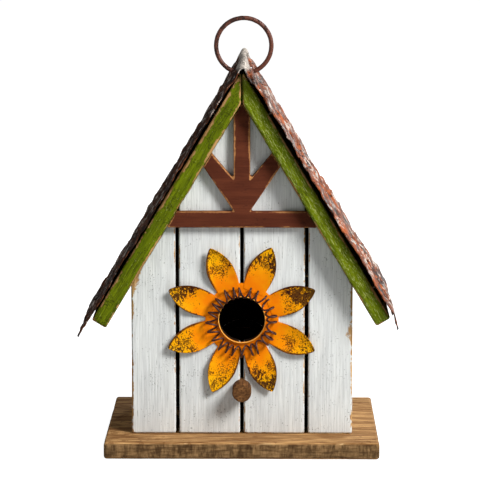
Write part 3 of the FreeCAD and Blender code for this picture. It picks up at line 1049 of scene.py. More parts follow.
@dataclass(frozen=True)
class Gable:
    """The roof's lines, which the planks, walls, boards and sheet all follow."""

    slope: float = math.radians(59.0)
    half_width: float = 78.0 * MM
    eave_height: float = 119.0 * MM
    board_thickness: float = 11.5 * MM
    board_length: float = 202.0 * MM
    bore_below_apex: float = 6.0 * MM
    bore_radius: float = 3.2 * MM

    @property
    def inner_apex(self) -> float:
        """Height of the roof boards' undersides at the ridge."""
        return self.eave_height + self.half_width * math.tan(self.slope)

    @property
    def outer_apex(self) -> float:
        """Height of the roof boards' top faces at the ridge."""
        return self.inner_apex + self.board_thickness / math.cos(self.slope)

    @property
    def bore_height(self) -> float:
        """Height of the cross hole for the ring."""
        return self.outer_apex - self.bore_below_apex

    def normal(self, side: Side) -> Vector:
        """Direction square to one slope, out of the roof."""
        return Vector((side.value * math.sin(self.slope), 0, math.cos(self.slope)))

    def on_slope(self, side: Side, along: float, height: float, y: float) -> Vector:
        """Finds a point over a slope.

        Args:
            side: Which slope.
            along: Distance down the boards' top face from the ridge.
            height: Height off that face.
            y: Place from front to back.

        Returns:
            The point.
        """
        x = along * math.cos(self.slope) + height * math.sin(self.slope)
        z = self.outer_apex - along * math.sin(self.slope) + height * math.cos(self.slope)
        return Vector((side.value * x, y, z))

    def height_over(self, point: Vector) -> float:
        """Height of a point off the roof boards' top face, on either slope."""
        drop = (self.outer_apex - point.z) * math.cos(self.slope)
        return abs(point.x) * math.sin(self.slope) - drop

    def trim_to_roof(self, piece: bpy.types.Object, *sides: Side) -> None:
        """Saws a piece off along the undersides of the roof boards.

        Args:
            piece: The piece.
            *sides: Which slopes to saw along.
        """
        for side in sides:
            saw(piece, Vector((0, 0, self.inner_apex)), self.normal(side))


@dataclass(frozen=True)
class Entrance:
    """The round entrance, which the planks and the flower share."""

    height: float = 94.7 * MM
    radius: float = 16.0 * MM

    def distance(self, point: Vector) -> float:
        """Distance of a point from the entrance's middle, seen from the front."""
        return math.hypot(point.x, point.z - self.height)

    def angle(self, point: Vector) -> float:
        """Angle of a point round the entrance's middle, seen from the front."""
        return math.atan2(point.z - self.height, point.x)


GABLE = Gable()
ENTRANCE = Entrance()


# ------------------------------------------------------------------ wooden pieces


@dataclass
class Timber:
    """A wooden piece: a sawn blank, its cuts, its worn arrises and its finish."""

    node: str
    finish: WornPaint | BareWood
    slot: str
    body: str = "house"
    round_over: float = 0.7 * MM
    voxel: float = 1.3 * MM
    chip_reach: float = 2.2 * MM
    chip_depth: float = 0.5 * MM
    sway: float = 0.25 * MM
    seed: float = 0.0
    # Faces turned this way take painted shade for the inside of the box.
    inner_face: Vector | None = None
    inner_shade: BareWood | None = None

    @property
    def name(self) -> str:
        """Name of the dressed piece."""
        return self.node + "_worn"

    def blank(self) -> bpy.types.Object:
        """The block that the piece is cut from."""
        low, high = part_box(self.node)
        return block(self.name, (low + high) / 2, high - low)

    def cut(self, piece: bpy.types.Object) -> None:
        """Cuts the blank to shape; a plain board needs no cut."""

    def wear_at(self, arrises: Arrises, point: Vector) -> float:
        """Distance from the wear's middle line at a point, as the finish reads it."""
        return arrises.distance(point)

    def shade_inside(self, piece: bpy.types.Object, effects: Effects) -> None:
        """Gives the faces inside the box a nearly black finish, painted shade of the closed box.

        Args:
            piece: The dressed piece.
            effects: The shared node groups.
        """
        if self.inner_face is None or self.inner_shade is None:
            return
        piece.data.materials.append(self.inner_shade.material(effects))
        for face in piece.data.polygons:
            if face.normal.dot(self.inner_face) > FACING:
                face.material_index = 1

    def build(self, effects: Effects) -> bpy.types.Object:
        """Makes and dresses the piece.

        Args:
            effects: The shared node groups.

        Returns:
            The finished piece, in the CAD node's place.
        """
        piece = self.blank()
        self.cut(piece)
        arrises = Arrises(piece)
        finish_with(piece, "BEVEL", width=self.round_over, segments=2, limit_method="ANGLE",
                    angle_limit=Arrises.SHARP)
        finish_with(piece, "REMESH", mode="VOXEL", voxel_size=self.voxel, use_smooth_shade=True)
        arrises.chip(piece, self.chip_reach, self.chip_depth, self.seed)
        texture = bpy.data.textures.new(self.name, "CLOUDS")
        texture.noise_scale = 0.03
        texture.noise_depth = 2
        finish_with(piece, "DISPLACE", texture=texture, strength=self.sway, mid_level=0.75,
                    texture_coords="LOCAL")
        note_on(piece, "edge", lambda point: self.wear_at(arrises, point))
        dress(piece, self.finish.material(effects), self.body, self.slot, self.node)
        self.shade_inside(piece, effects)
        return piece


def dress(piece: bpy.types.Object, material: bpy.types.Material, body: str, slot: str,
          *nodes: str) -> bpy.types.Object:
    """Gives a piece its material and its place in the frame.

    Args:
        piece: The piece.
        material: Its material.
        body: The body that it rides on.
        slot: The record's material slot; not used.
        *nodes: The CAD nodes that it stands for.

    Returns:
        The same piece.
    """
    piece.data.materials.clear()
    piece.data.materials.append(material)
    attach(piece, body)
    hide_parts(*nodes)
    log.info("%s: %d faces, rides on %s", piece.name, len(piece.data.polygons), body)
    return piece


@dataclass
class BaseBoard(Timber):
    """Flat base board whose upright faces keep their saw marks."""

    def build(self, effects: Effects) -> bpy.types.Object:
        """Makes the board and notes which points lie on its upright faces.

        Args:
            effects: The shared node groups.

        Returns:
            The finished board.
        """
        piece = super().build(effects)
        low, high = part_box(self.node)
        near = 0.5 * MM
        note_on(piece, "upright", lambda point: float(
            point.y < low.y + near or point.y > high.y - near or abs(point.x) > high.x - near))
        return piece


@dataclass
class FrontPlank(Timber):
    """One upright board of the front, cut round the entrance."""

    side: Side = Side.LEFT
    worn_height: float = 120.0 * MM
    worn_length: float = 7.0 * MM
    corner_width: float = 8.0 * MM
    entrance_edge: float = 0.7 * MM

    def shade_inside(self, piece: bpy.types.Object, effects: Effects) -> None:
        """Gives the entrance's own edge the same painted shade too.

        Args:
            piece: The dressed plank.
            effects: The shared node groups.
        """
        super().shade_inside(piece, effects)
        for face in piece.data.polygons:
            if ENTRANCE.distance(face.center) < ENTRANCE.radius + self.entrance_edge:
                face.material_index = 1

    def wear_at(self, arrises: Arrises, point: Vector) -> float:
        """Wears the house's own corners most and the edges along the gaps least.

        Args:
            arrises: The plank's sharp edges.
            point: A point of the plank.

        Returns:
            The distance that the finish reads, less where wear goes further.
        """
        away = arrises.distance(point)
        if abs(point.x) < GABLE.half_width - self.corner_width:
            return away * 1.7
        patch = math.exp(-((point.z - self.worn_height) / self.worn_length) ** 2)
        patch *= 0.7 + noise.noise(Vector((point.x * 200, self.seed, point.z * 160)))
        return away / (1.0 + 3.6 * max(0.0, patch))

    def cut(self, piece: bpy.types.Object) -> None:
        """Cuts the roof slope and, near the middle, the entrance.

        Args:
            piece: The blank.
        """
        GABLE.trim_to_roof(piece, self.side)
        if min(abs(corner.x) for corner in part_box(self.node)) < ENTRANCE.radius:
            bore_through(piece, self.node, ENTRANCE.height, ENTRANCE.radius)


@dataclass
class SideWall(Timber):
    """Side wall, its top bevelled to the roof slope."""

    side: Side = Side.LEFT

    def cut(self, piece: bpy.types.Object) -> None:
        """Bevels the top."""
        GABLE.trim_to_roof(piece, self.side)


@dataclass
class BackWall(Timber):
    """Back gable wall with the round clean-out hole."""

    hole_height: float = 56.0 * MM
    hole_radius: float = 22.0 * MM

    def cut(self, piece: bpy.types.Object) -> None:
        """Cuts the gable and the clean-out hole."""
        GABLE.trim_to_roof(piece, *Side)
        bore_through(piece, self.node, self.hole_height, self.hole_radius)


@dataclass
class RoofBoard(Timber):
    """Full-depth roof board, mitred at the ridge over an uneven joint."""

    side: Side = Side.LEFT
    gap_top: float = 0.12 * MM
    gap_foot: float = 0.5 * MM
    outer_band: float = 4.0 * MM
    longer: float = 0.0

    def blank(self) -> bpy.types.Object:
        """Saws the board to length, before its mitre is cut.

        Returns:
            The board, leaning along its slope.
        """
        low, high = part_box(self.node)
        length = GABLE.board_length + self.longer
        size = Vector((GABLE.board_thickness, high.y - low.y, length))
        centre = GABLE.on_slope(self.side, length / 2, -GABLE.board_thickness / 2,
                                (low.y + high.y) / 2)
        return block(self.name, centre, size, self.side.value * (math.pi / 2 + GABLE.slope))

    def wear_at(self, arrises: Arrises, point: Vector) -> float:
        """Wears the left board's outer arris more, and every arris in patches.

        Args:
            arrises: The board's sharp edges.
            point: A point of the board.

        Returns:
            The distance that the finish reads, less where wear goes further.
        """
        outer = GABLE.height_over(point) > -self.outer_band
        patch = max(0.0, noise.noise(Vector((point.z * 24, self.seed, point.y * 9))))
        share = 0.75 if outer and self.side is Side.LEFT else 1.0
        return arrises.distance(point) * share / (1.0 + 1.2 * patch)

    def cut(self, piece: bpy.types.Object) -> None:
        """Cuts the mitre and the cross hole for the ring.

        Args:
            piece: The blank.
        """
        low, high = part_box(self.node)
        drop = GABLE.outer_apex - GABLE.inner_apex
        lean = (self.gap_foot - self.gap_top) / drop
        close = self.gap_foot / (high.y - low.y)
        point = Vector((self.side.value * self.gap_top, low.y, GABLE.outer_apex))
        saw(piece, point, Vector((-self.side.value, -close, -lean)))
        reach = Vector((self.side.value * 5 * OVERRUN, 0, 0))
        centre = Vector((0, 0, GABLE.bore_height))
        bore(piece, centre - reach * 0.1, centre + reach, GABLE.bore_radius)


@dataclass
class GableTrim(Timber):
    """The cut-out board under the ridge: collar beam, king post and two struts."""

    def blank(self) -> bpy.types.Object:
        """The trim's outline, taken from its node."""
        return copy_of_node(self.name, self.node)


@dataclass
class Perch(Timber):
    """Short round perch with a sawn, rough end."""

    rim: float = 1.1 * MM
    bulge: float = 0.25 * MM

    def blank(self) -> bpy.types.Object:
        """Turns the dowel, the middle of its front end standing out a little.

        Returns:
            The dowel.
        """
        low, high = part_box(self.node)
        centre = (low + high) / 2
        radius = (high.x - low.x) / 2
        piece = round_bar(self.name, Vector((centre.x, low.y, centre.z)),
                          Vector((centre.x, high.y, centre.z)), radius)
        with edit_mode(piece, "DESELECT"):
            pick(piece, "faces", lambda face: face.normal.y < -FACING)
            bpy.ops.mesh.inset(thickness=self.rim, depth=0)
            bpy.ops.transform.translate(value=(0, -self.bulge, 0))
        return piece


@dataclass
class CleanoutCover(Timber):
    """Flap with rounded corners that turns on one screw."""

    corner: float = 6.0 * MM
    corner_steps: int = 6
    pivot_height: float = 92.0 * MM
    pivot_radius: float = 2.05 * MM

    def cut(self, piece: bpy.types.Object) -> None:
        """Rounds the corners and bores the screw hole.

        Args:
            piece: The blank.
        """
        with edit_mode(piece, "DESELECT"):
            pick(piece, "edges",
                 lambda edge: abs(edge.verts[0].co.y - edge.verts[1].co.y) > 1 * MM)
            bpy.ops.mesh.bevel(offset=self.corner, segments=self.corner_steps)
        bore_through(piece, self.node, self.pivot_height, self.pivot_radius)


# ------------------------------------------------------------------ metal pieces


@dataclass
class TinRoof:
    """Crinkled tin sheet folded over the ridge, with torn holes for the ring."""

    node: str = "roof_sheet"
    finish: RustyTin = RustyTin()
    left_reach: float = 223.0 * MM
    right_reach: float = 219.5 * MM
    left_stand_off: float = 2.1 * MM
    right_stand_off: float = 3.5 * MM
    front_dip: float = 1.6 * MM
    ridge_rise: float = 0.6 * MM
    fold_radius: float = 2.4 * MM
    thickness: float = 0.6 * MM
    lip: float = 13.0 * MM
    lip_droop: float = math.radians(17.0)
    half_depth: float = 81.0 * MM
    dip_depth: float = 18.0 * MM
    crumples: float = 1.7 * MM
    creases: float = 0.75 * MM
    dents: float = 1.2 * MM
    dimples: float = 0.3 * MM
    wander: float = 6.0 * MM
    lowest: float = 0.5 * MM
    softness: float = 0.4 * MM
    full_crest: float = 6.0 * MM
    corner_cut: float = 5.0 * MM
    corner_length: float = 7.0 * MM
    raggedness: float = 1.1 * MM
    margin: float = 1.4 * MM
    tear: float = 0.6 * MM
    steps_along: int = 300
    steps_across: int = 96

    def height(self, along: float, y: float) -> float:
        """Height of the sheet over the boards.

        Args:
            along: Signed distance from the ridge, left negative.
            y: Place from front to back.

        Returns:
            The height off the boards' top face.
        """
        spot = Vector((along, y * 0.55, 0.0))
        sunk = max(0.0, 1 - (y + self.half_depth) / self.dip_depth) ** 0.8 * self.front_dip
        stand_off = (self.left_stand_off if along < 0 else self.right_stand_off) - sunk
        bent = spot + self.wander * Vector((noise.noise(spot * 30),
                                            noise.noise(spot * 30 + Vector((9, 0, 0))), 0))
        crumple = 0.42 - abs(noise.noise(bent * 58)) * 2.0
        crease = 0.42 - abs(noise.noise(bent * 125 + Vector((0, 0, 5)))) * 2.0
        dent = noise.noise(spot * 34 + Vector((0, 0, 2)))
        dimple = noise.noise(spot * 300 + Vector((0, 0, 8)))
        rough = 0.75 if along < 0 else 1.1
        height = stand_off + rough * (self.crumples * crumple + self.creases * crease
                                      + self.dents * dent + self.dimples * dimple)
        # A soft floor keeps the deepest creases off the boards without a flat patch.
        over = (height - self.lowest) / self.softness
        return self.lowest + math.log1p(math.exp(over)) * self.softness

    def crest_at(self, point: Vector) -> float:
        """How high a point of the sheet stands over the boards, 0 to 1."""
        return min(1.0, max(0.0, GABLE.height_over(point) / self.full_crest))

    def point(self, along: float, y: float) -> Vector:
        """Point of the sheet.

        Args:
            along: Signed distance from the ridge, left negative.
            y: Place from front to back.

        Returns:
            The point.
        """
        side = Side.LEFT if along < 0 else Side.RIGHT
        height = self.height(along, y)
        away = abs(along)
        tangent = self.fold_radius * math.tan(GABLE.slope)
        if away < tangent:
            near = 1 - away / tangent
            middle = 0.5 * (self.height(tangent, y) + self.height(-tangent, y))
            height = self.height(math.copysign(tangent, along), y) * (away / tangent) \
                + middle * near
            rise = self.ridge_rise * min(1.0, (y + self.half_depth) / (2 * self.half_depth)) * near
            apex = GABLE.outer_apex + rise + height / math.cos(GABLE.slope)
            centre = apex - self.fold_radius / math.cos(GABLE.slope)
            turn = along / tangent * GABLE.slope
            return Vector((self.fold_radius * math.sin(turn), y,
                           centre + self.fold_radius * math.cos(turn)))
        down = away - height * math.tan(GABLE.slope)
        droop = 0.0
        bend_from = self.right_reach - self.lip
        if side is Side.RIGHT and away > bend_from:
            droop = away - bend_from
            down -= droop
        point = GABLE.on_slope(side, down, height, y)
        steep = GABLE.slope + self.lip_droop
        return point + Vector((math.cos(steep), 0, -math.sin(steep))) * droop

    def build(self, effects: Effects) -> bpy.types.Object:
        """Makes and dresses the sheet.

        Args:
            effects: The shared node groups.

        Returns:
            The finished sheet.
        """
        low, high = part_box(self.node)
        depth = high.y - low.y
        length = self.left_reach + self.right_reach
        piece = added("roof_sheet_crinkled", bpy.ops.mesh.primitive_grid_add, size=1.0,
                      x_subdivisions=self.steps_along, y_subdivisions=self.steps_across)

        def lay(flat: Vector) -> Vector:
            """Lays a point of the flat sheet over the roof, its corners and ends ragged.

            Args:
                flat: The point on a sheet of side 1.

            Returns:
                Its place on the roof.
            """
            along = (flat.x + 0.5) * length - self.left_reach
            end = min(along + self.left_reach, self.right_reach - along)
            corner = max(0.0, 1 - end / self.corner_length) ** 2 * self.corner_cut
            ragged = noise.noise(Vector((along * 110, math.copysign(5, flat.y), 1.0)))
            ragged *= self.raggedness
            y = flat.y * (depth - 2 * corner - self.margin) + ragged * abs(flat.y) * 2
            return self.point(along, y)

        def torn(face: bmesh.types.BMFace) -> bool:
            """Says whether a face lies where the ring's hole is torn.

            Args:
                face: A face of the sheet.

            Returns:
                True where the sheet is missing.
            """
            centre = face.calc_center_median()
            away = math.hypot(centre.y, centre.z - GABLE.bore_height)
            return away < GABLE.bore_radius + self.tear

        shape_by(piece, lay)
        with edit_mode(piece, "DESELECT"):
            pick(piece, "faces", torn)
            bpy.ops.mesh.delete(type="FACE")
        finish_with(piece, "SOLIDIFY", thickness=self.thickness, offset=0.0)
        smooth(piece, 50.0)
        note_on(piece, "crest", self.crest_at)
        return dress(piece, self.finish.material(effects), "house", "rusty_tin", self.node)


@dataclass
class Sunflower:
    """Tin flower: cupped petals round a flat hub with a raised collar."""

    node: str = "flower"
    finish: FlowerEnamel = FlowerEnamel()
    petals: int = 8
    petal_steps: tuple[int, int] = (26, 12)
    face_y: float = -47.0 * MM
    hub: float = 25.0 * MM
    belly: float = 36.0 * MM
    tip: float = 55.6 * MM
    half_width: float = 9.8 * MM
    lift: float = 3.7 * MM
    cup: float = 2.6 * MM
    petal_root: float = 4.5 * MM
    vein: float = 0.27 * MM
    dents: float = 0.35 * MM
    tin: float = 0.7 * MM
    collar: float = 3.0 * MM
    spin_steps: int = 96
    seed: int = 5
    ages: tuple[float, ...] = (1.02, 0.8, 0.6, 0.98, 0.5, 0.46, 0.8, 0.5)

    def half_width_at(self, reach: float) -> float:
        """Gives half the width of a petal.

        Args:
            reach: Distance from the flower's centre.

        Returns:
            Half the petal's width there.
        """
        if reach <= self.belly:
            share = (reach - ENTRANCE.radius) / (self.belly - ENTRANCE.radius)
            return self.half_width * (0.66 + 0.34 * math.sin(share * math.pi / 2))
        share = min(1.0, (reach - self.belly) / (self.tip - self.belly))
        return self.half_width * max(0.02, (1 - share ** 1.9) ** 0.82)

    def petal(self, index: int, chance: random.Random) -> bpy.types.Object:
        """Makes one petal.

        Args:
            index: Which petal.
            chance: Source of the small differences between petals.

        Returns:
            The petal, unfinished, as one skin.
        """
        petal = added("petal", bpy.ops.mesh.primitive_grid_add, size=1.0,
                      x_subdivisions=self.petal_steps[0], y_subdivisions=self.petal_steps[1])
        axis = (2 * index + 1) * math.pi / self.petals + chance.uniform(-0.02, 0.02)
        lift = self.lift * chance.uniform(0.75, 1.05)
        cup = self.cup * chance.uniform(0.7, 1.15)
        twist = chance.uniform(-0.06, 0.06)
        start = ENTRANCE.radius + self.petal_root

        def press(flat: Vector) -> Vector:
            """Presses a point of a flat square into the petal.

            Args:
                flat: The point on a sheet of side 1.

            Returns:
                Its place on the petal.
            """
            reach = start + (flat.x + 0.5) * (self.tip - start)
            share = max(0.0, (reach - self.hub) / (self.tip - self.hub))
            across = flat.y * 2
            wide = self.half_width_at(reach)
            width = across * wide
            fade = min(1.0, share * 2.2)
            height = lift * share ** 1.4 + cup * abs(across) ** 2.2 * fade * (1 - 0.55 * share)
            height += twist * width * share + self.vein * (1 - abs(across)) * fade
            dent = noise.noise(Vector((reach * 90, width * 120, index * 3.7)))
            height += dent * self.dents * fade
            x = reach * math.cos(axis) - width * math.sin(axis)
            z = reach * math.sin(axis) + width * math.cos(axis)
            return Vector((x, self.face_y - self.tin - height, ENTRANCE.height + z))

        shape_by(petal, press)
        return petal

    def hub_and_collar(self) -> bpy.types.Object:
        """Spins the hub and its collar round the entrance.

        Returns:
            The hub, unfinished, as one skin.
        """
        mesh = bpy.data.meshes.new("hub")
        foot = self.face_y - self.tin * 0.6
        inner = ENTRANCE.radius
        profile = [(inner + 0.5 * MM, foot - self.collar), (inner + 0.4 * MM, foot - 1.6 * MM),
                   (inner + 0.5 * MM, foot - 0.3 * MM), (inner + 1.2 * MM, foot),
                   (self.hub - 2.0 * MM, foot), (self.hub + 1.0 * MM, foot - 0.15 * MM)]
        mesh.from_pydata([Vector((radius, y, ENTRANCE.height)) for radius, y in profile],
                         [(index, index + 1) for index in range(len(profile) - 1)], [])
        piece = bpy.data.objects.new("hub", mesh)
        bpy.context.scene.collection.objects.link(piece)
        with edit_mode(piece):
            bpy.ops.mesh.spin(steps=self.spin_steps, angle=2 * math.pi,
                              center=(0, 0, ENTRANCE.height), axis=(0, 1, 0))
        face_outwards(piece)
        return piece

    def rim_at(self, point: Vector) -> float:
        """Says how near a point is to the rim of its petal.

        Args:
            point: A point of the flower.

        Returns:
            0 on the petal's middle line and on the hub, 1 at the rim.
        """
        reach = ENTRANCE.distance(point)
        if reach < self.hub:
            return 0.0
        step = 2 * math.pi / self.petals
        angle = ENTRANCE.angle(point) % step
        across = abs(angle - step / 2) * reach
        return min(1.0, across / max(self.half_width_at(reach), 0.5 * MM))

    def reach_at(self, point: Vector) -> float:
        """How far out a point is, 0 at the entrance and 1 at the tips."""
        return (ENTRANCE.distance(point) - ENTRANCE.radius) / (self.tip - ENTRANCE.radius)

    def age_at(self, point: Vector) -> float:
        """How far the rust has got on the petal at a point."""
        angle = ENTRANCE.angle(point) % (2 * math.pi)
        return self.ages[int(angle / (2 * math.pi) * self.petals) % self.petals]

    def collar_highlight_at(self, point: Vector) -> float:
        """1 on the collar's outer lip, which takes a painted highlight, 0 elsewhere."""
        return 1.0 if self.face_y - point.y > self.collar and self.reach_at(point) < 0.05 else 0.0

    def build(self, effects: Effects) -> bpy.types.Object:
        """Makes and dresses the flower.

        Args:
            effects: The shared node groups.

        Returns:
            The finished flower.
        """
        chance = random.Random(self.seed)
        parts = [self.hub_and_collar()]
        parts += [self.petal(index, chance) for index in range(self.petals)]
        piece = join(parts, "flower_cupped")
        finish_with(piece, "SOLIDIFY", thickness=self.tin, offset=0.0)
        finish_with(piece, "SUBSURF", levels=1, render_levels=1)
        smooth(piece)
        note_on(piece, "reach", self.reach_at)
        note_on(piece, "rim", self.rim_at)
        note_on(piece, "collar", self.collar_highlight_at)
        note_on(piece, "age", self.age_at)
        return dress(piece, self.finish.material(effects), "house", "flower_tin", self.node)


@dataclass
class WireCoil:
    """Wire wound into uneven turns and bent round the collar."""

    finish: BareMetal
    node: str = "wire_coil"
    centre: float = 93.2 * MM
    seat_y: float = -47.8 * MM
    radius: float = 21.2 * MM
    loop: float = 4.0 * MM
    rise: float = 3.1 * MM
    wire: float = 0.68 * MM
    turns: int = 24
    start: float = math.radians(48.0)
    loop_lean: float = 0.046
    opening: float = 0.08
    points_per_turn: int = 12
    seed: int = 11

    def build(self, effects: Effects) -> bpy.types.Object:
        """Makes and dresses the coil.

        Args:
            effects: The shared node groups.

        Returns:
            The finished coil.
        """
        chance = random.Random(self.seed)
        step = (2 * math.pi - self.opening) / self.turns
        loops = [(chance.uniform(-0.3, 0.3) * step, chance.uniform(0.86, 1.06),
                  chance.uniform(-0.5, 0.5) * MM) for _ in range(self.turns + 1)]
        points: list[Vector] = []
        for index in range(self.turns * self.points_per_turn + 1):
            turn, part = divmod(index, self.points_per_turn)
            share = part / self.points_per_turn
            first, second = loops[turn], loops[min(turn + 1, self.turns)]
            slip, size, out = (a * (1 - share) + b * share for a, b in zip(first, second))
            phase = 2 * math.pi * share
            angle = self.start + step * (turn + share) + slip - self.loop_lean * math.sin(phase)
            reach = self.radius + out + self.loop * size * math.cos(phase)
            height = self.wire + self.rise * size * (1 + math.sin(phase))
            points.append(Vector((reach * math.cos(angle), self.seat_y - height,
                                  self.centre + reach * math.sin(angle))))
        piece = added("wire_coil_uneven", bpy.ops.curve.primitive_nurbs_path_add)
        curve = piece.data
        spline = curve.splines[0]
        spline.points.add(len(points) - len(spline.points))
        for target, point in zip(spline.points, points):
            target.co = (*point, 1.0)
        spline.order_u = 4
        spline.use_endpoint_u = True
        curve.resolution_u = 3
        curve.bevel_depth = self.wire
        curve.bevel_resolution = 3
        curve.use_fill_caps = True
        settle(piece)
        bpy.ops.object.convert(target="MESH")
        piece = bpy.context.active_object
        face_outwards(piece, 0.001 * MM)
        smooth(piece)
        return dress(piece, self.finish.material(effects), "house", "rusty_wire", self.node)


@dataclass
class HangingRing:
    """Round wire ring that hangs in the cross hole, its butted ends out of sight."""

    finish: BareMetal
    node: str = "hanging_ring"
    wire: float = 1.65 * MM
    slip: float = 0.8 * MM
    pits: float = 0.25 * MM
    half_gap: float = 0.5 * MM
    steps_round: int = 128
    sides: int = 20

    def build(self, effects: Effects) -> bpy.types.Object:
        """Makes and dresses the ring.

        Args:
            effects: The shared node groups.

        Returns:
            The finished ring.
        """
        low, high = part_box(self.node)
        centre = (low + high) / 2
        radius = (high.x - low.x) / 2 - self.wire
        middle = centre.x + self.slip
        piece = added("hanging_ring_pitted", bpy.ops.mesh.primitive_torus_add,
                      location=(middle, centre.y, centre.z), rotation=(math.pi / 2, 0, 0),
                      major_radius=radius, minor_radius=self.wire,
                      major_segments=self.steps_round, minor_segments=self.sides)
        settle(piece)
        top = low.z + self.wire + self.wire * 1.2
        mesh = bmesh.new()
        mesh.from_mesh(piece.data)
        gap = [face for face in mesh.faces
               if abs(face.calc_center_median().x - middle) < self.half_gap
               and face.calc_center_median().z < top]
        bmesh.ops.delete(mesh, geom=gap, context="FACES")
        bmesh.ops.holes_fill(mesh, edges=mesh.edges, sides=2 * self.sides)
        mesh.to_mesh(piece.data)
        mesh.free()
        texture = bpy.data.textures.new("ring_pits", "CLOUDS")
        texture.noise_scale = 0.0025
        texture.noise_depth = 3
        finish_with(piece, "DISPLACE", texture=texture, strength=self.pits, mid_level=0.6,
                    texture_coords="LOCAL")
        smooth(piece)
        return dress(piece, self.finish.material(effects), "ring", "rusty_wire", self.node)


@dataclass
class KeptNodes:
    """CAD nodes whose shape is right, which only take a material."""

    finish: BareMetal | BareWood | FlowerEnamel
    nodes: tuple[str, ...]

    def build(self, effects: Effects) -> None:
        """Dresses the nodes.

        Args:
            effects: The shared node groups.
        """
        material = self.finish.material(effects)
        for name in self.nodes:
            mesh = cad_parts[name].data
            mesh.materials.clear()
            mesh.materials.append(material)
            log.info("%s keeps its CAD shape under %s", name, material.name)


# ------------------------------------------------------------------ studio


@dataclass(frozen=True)
class SoftBox:
    """A square soft light that points at the middle of the house."""

    name: str
    place: Triple
    size: float
    power: float
    colour: Triple = (1.0, 1.0, 1.0)
    aim_height: float = 130.0 * MM

    def build(self) -> None:
        """Hangs the light."""
        run = Vector((0, 0, self.aim_height)) - Vector(self.place)
        bpy.ops.object.light_add(type="AREA", location=self.place,
                                 rotation=run.to_track_quat("-Z", "Y").to_euler())
        light = bpy.context.active_object
        light.name = self.name
        light.data.size = self.size
        light.data.energy = self.power
        light.data.color = self.colour


@dataclass(frozen=True)
class Studio:
    """Pale floor, soft light and the camera."""

    lights: tuple[SoftBox, ...] = (
        SoftBox("key", (1.25, -1.15, 1.35), 0.7, 60.0, (1.0, 0.992, 0.98)),
        SoftBox("fill", (-1.3, -1.6, 0.7), 1.4, 3.0, (0.95, 0.975, 1.0)),
        SoftBox("back", (0.95, 1.7, 0.6), 1.2, 20.0),
        SoftBox("side", (-1.9, 0.6, 0.5), 1.2, 5.0, (0.97, 0.985, 1.0)),
    )
    camera_place: Triple = (0.018402, -1.767548, 0.419237)
    camera_dip: float = 0.15464
    camera_turn: float = 0.01148
    lens: float = 186.4
    film_width: float = 36.0
    nearest: float = 50.0 * MM
    floor_side: float = 12.0
    floor_drop: float = 0.2 * MM
    floor_glow: float = 0.96
    sky: float = 0.11
    sky_seen: float = 1.05

    def floor(self) -> None:
        """Lays the floor, which glows pale for the camera and sheds no light of its own."""
        piece = added("studio_floor", bpy.ops.mesh.primitive_plane_add, size=self.floor_side,
                      location=(0, 0, -self.floor_drop))
        material, nodes, shader = new_material("studio_floor")
        tone = nodes.clouds(nodes.place(), 3.0, 2.0)
        nodes.feed(shader.inputs["Base Color"],
                   nodes.blend(tone, (0.5, 0.5, 0.5, 1), (0.52, 0.52, 0.52, 1)))
        shader.inputs["Roughness"].default_value = 0.9
        shader.inputs["Specular IOR Level"].default_value = 0.0
        shader.inputs["Emission Color"].default_value = (1.0, 1.0, 1.0, 1.0)
        seen = nodes.add("ShaderNodeLightPath").outputs["Is Camera Ray"]
        nodes.feed(shader.inputs["Emission Strength"], nodes.times(seen, self.floor_glow))
        piece.data.materials.append(material)

    def sky_light(self) -> None:
        """Sets a white sky that looks brighter than it lights."""
        world = bpy.data.worlds.new("studio_sky")
        world.use_nodes = True
        bpy.context.scene.world = world
        nodes = Nodes(world.node_tree)
        background = world.node_tree.nodes["Background"]
        background.inputs["Color"].default_value = (1.0, 1.0, 1.0, 1.0)
        seen = nodes.add("ShaderNodeLightPath").outputs["Is Camera Ray"]
        nodes.feed(background.inputs["Strength"], nodes.between(seen, self.sky, self.sky_seen))

    def camera(self) -> None:
        """Sets up the camera."""
        bpy.ops.object.camera_add(location=self.camera_place,
                                  rotation=(math.pi / 2 - self.camera_dip, 0, self.camera_turn))
        camera = bpy.context.active_object
        camera.data.lens = self.lens
        camera.data.sensor_width = self.film_width
        camera.data.clip_start = self.nearest
        bpy.context.scene.camera = camera
        bpy.context.scene.view_settings.view_transform = "Standard"

    def build(self) -> None:
        """Sets the floor, the sky, the lights and the camera."""
        self.floor()
        self.sky_light()
        for light in self.lights:
            light.build()
        self.camera()


# ------------------------------------------------------------------ the birdhouse


WHITEWASH = WornPaint("whitewash", paint(229, 232, 230), paint(220, 223, 222),
                      paint(205, 166, 112), paint(150, 108, 66), GrainRun.UP, wear=1.5 * MM,
                      grain_through=0.2, scuffs=0.36, scuff_colour=paint(68, 68, 64))
LEAF_GREEN = {
    Side.LEFT: WornPaint("leaf_green_left", paint(114, 130, 10), paint(92, 108, 4),
                         paint(196, 154, 100), paint(140, 104, 58), GrainRun.DOWN_LEFT,
                         wear=1.25 * MM, scuffs=0.7, scuff_colour=paint(50, 54, 6),
                         grain_through=0.5, streaks=0.3, rough=0.6, raised=0.9),
    Side.RIGHT: WornPaint("leaf_green_right", paint(118, 134, 12), paint(94, 110, 6),
                          paint(196, 154, 100), paint(140, 104, 58), GrainRun.DOWN_RIGHT,
                          wear=1.25 * MM, scuffs=0.6, scuff_colour=paint(52, 58, 6),
                          grain_through=0.5, streaks=0.6, rough=0.6, raised=0.9),
}
BARN_BROWN = WornPaint("barn_brown", paint(98, 50, 32), paint(86, 42, 27), paint(190, 134, 84),
                       paint(132, 84, 50), GrainRun.ACROSS, wear=1.15 * MM, scuffs=0.4,
                       scuff_colour=paint(62, 30, 22), grain_through=0.3)
OILED_PINE = BareWood("oiled_pine", paint(224, 176, 116), paint(106, 66, 34), GrainRun.ACROSS,
                      wear=1.0 * MM, grain_lines=1300.0, mottle=0.4, saw_marks=True)
DARK_DOWEL = BareWood("dark_dowel", paint(142, 98, 58), paint(66, 42, 24), GrainRun.THROUGH,
                      arris=paint(96, 66, 44), wear=0.5 * MM, mottle=0.45)
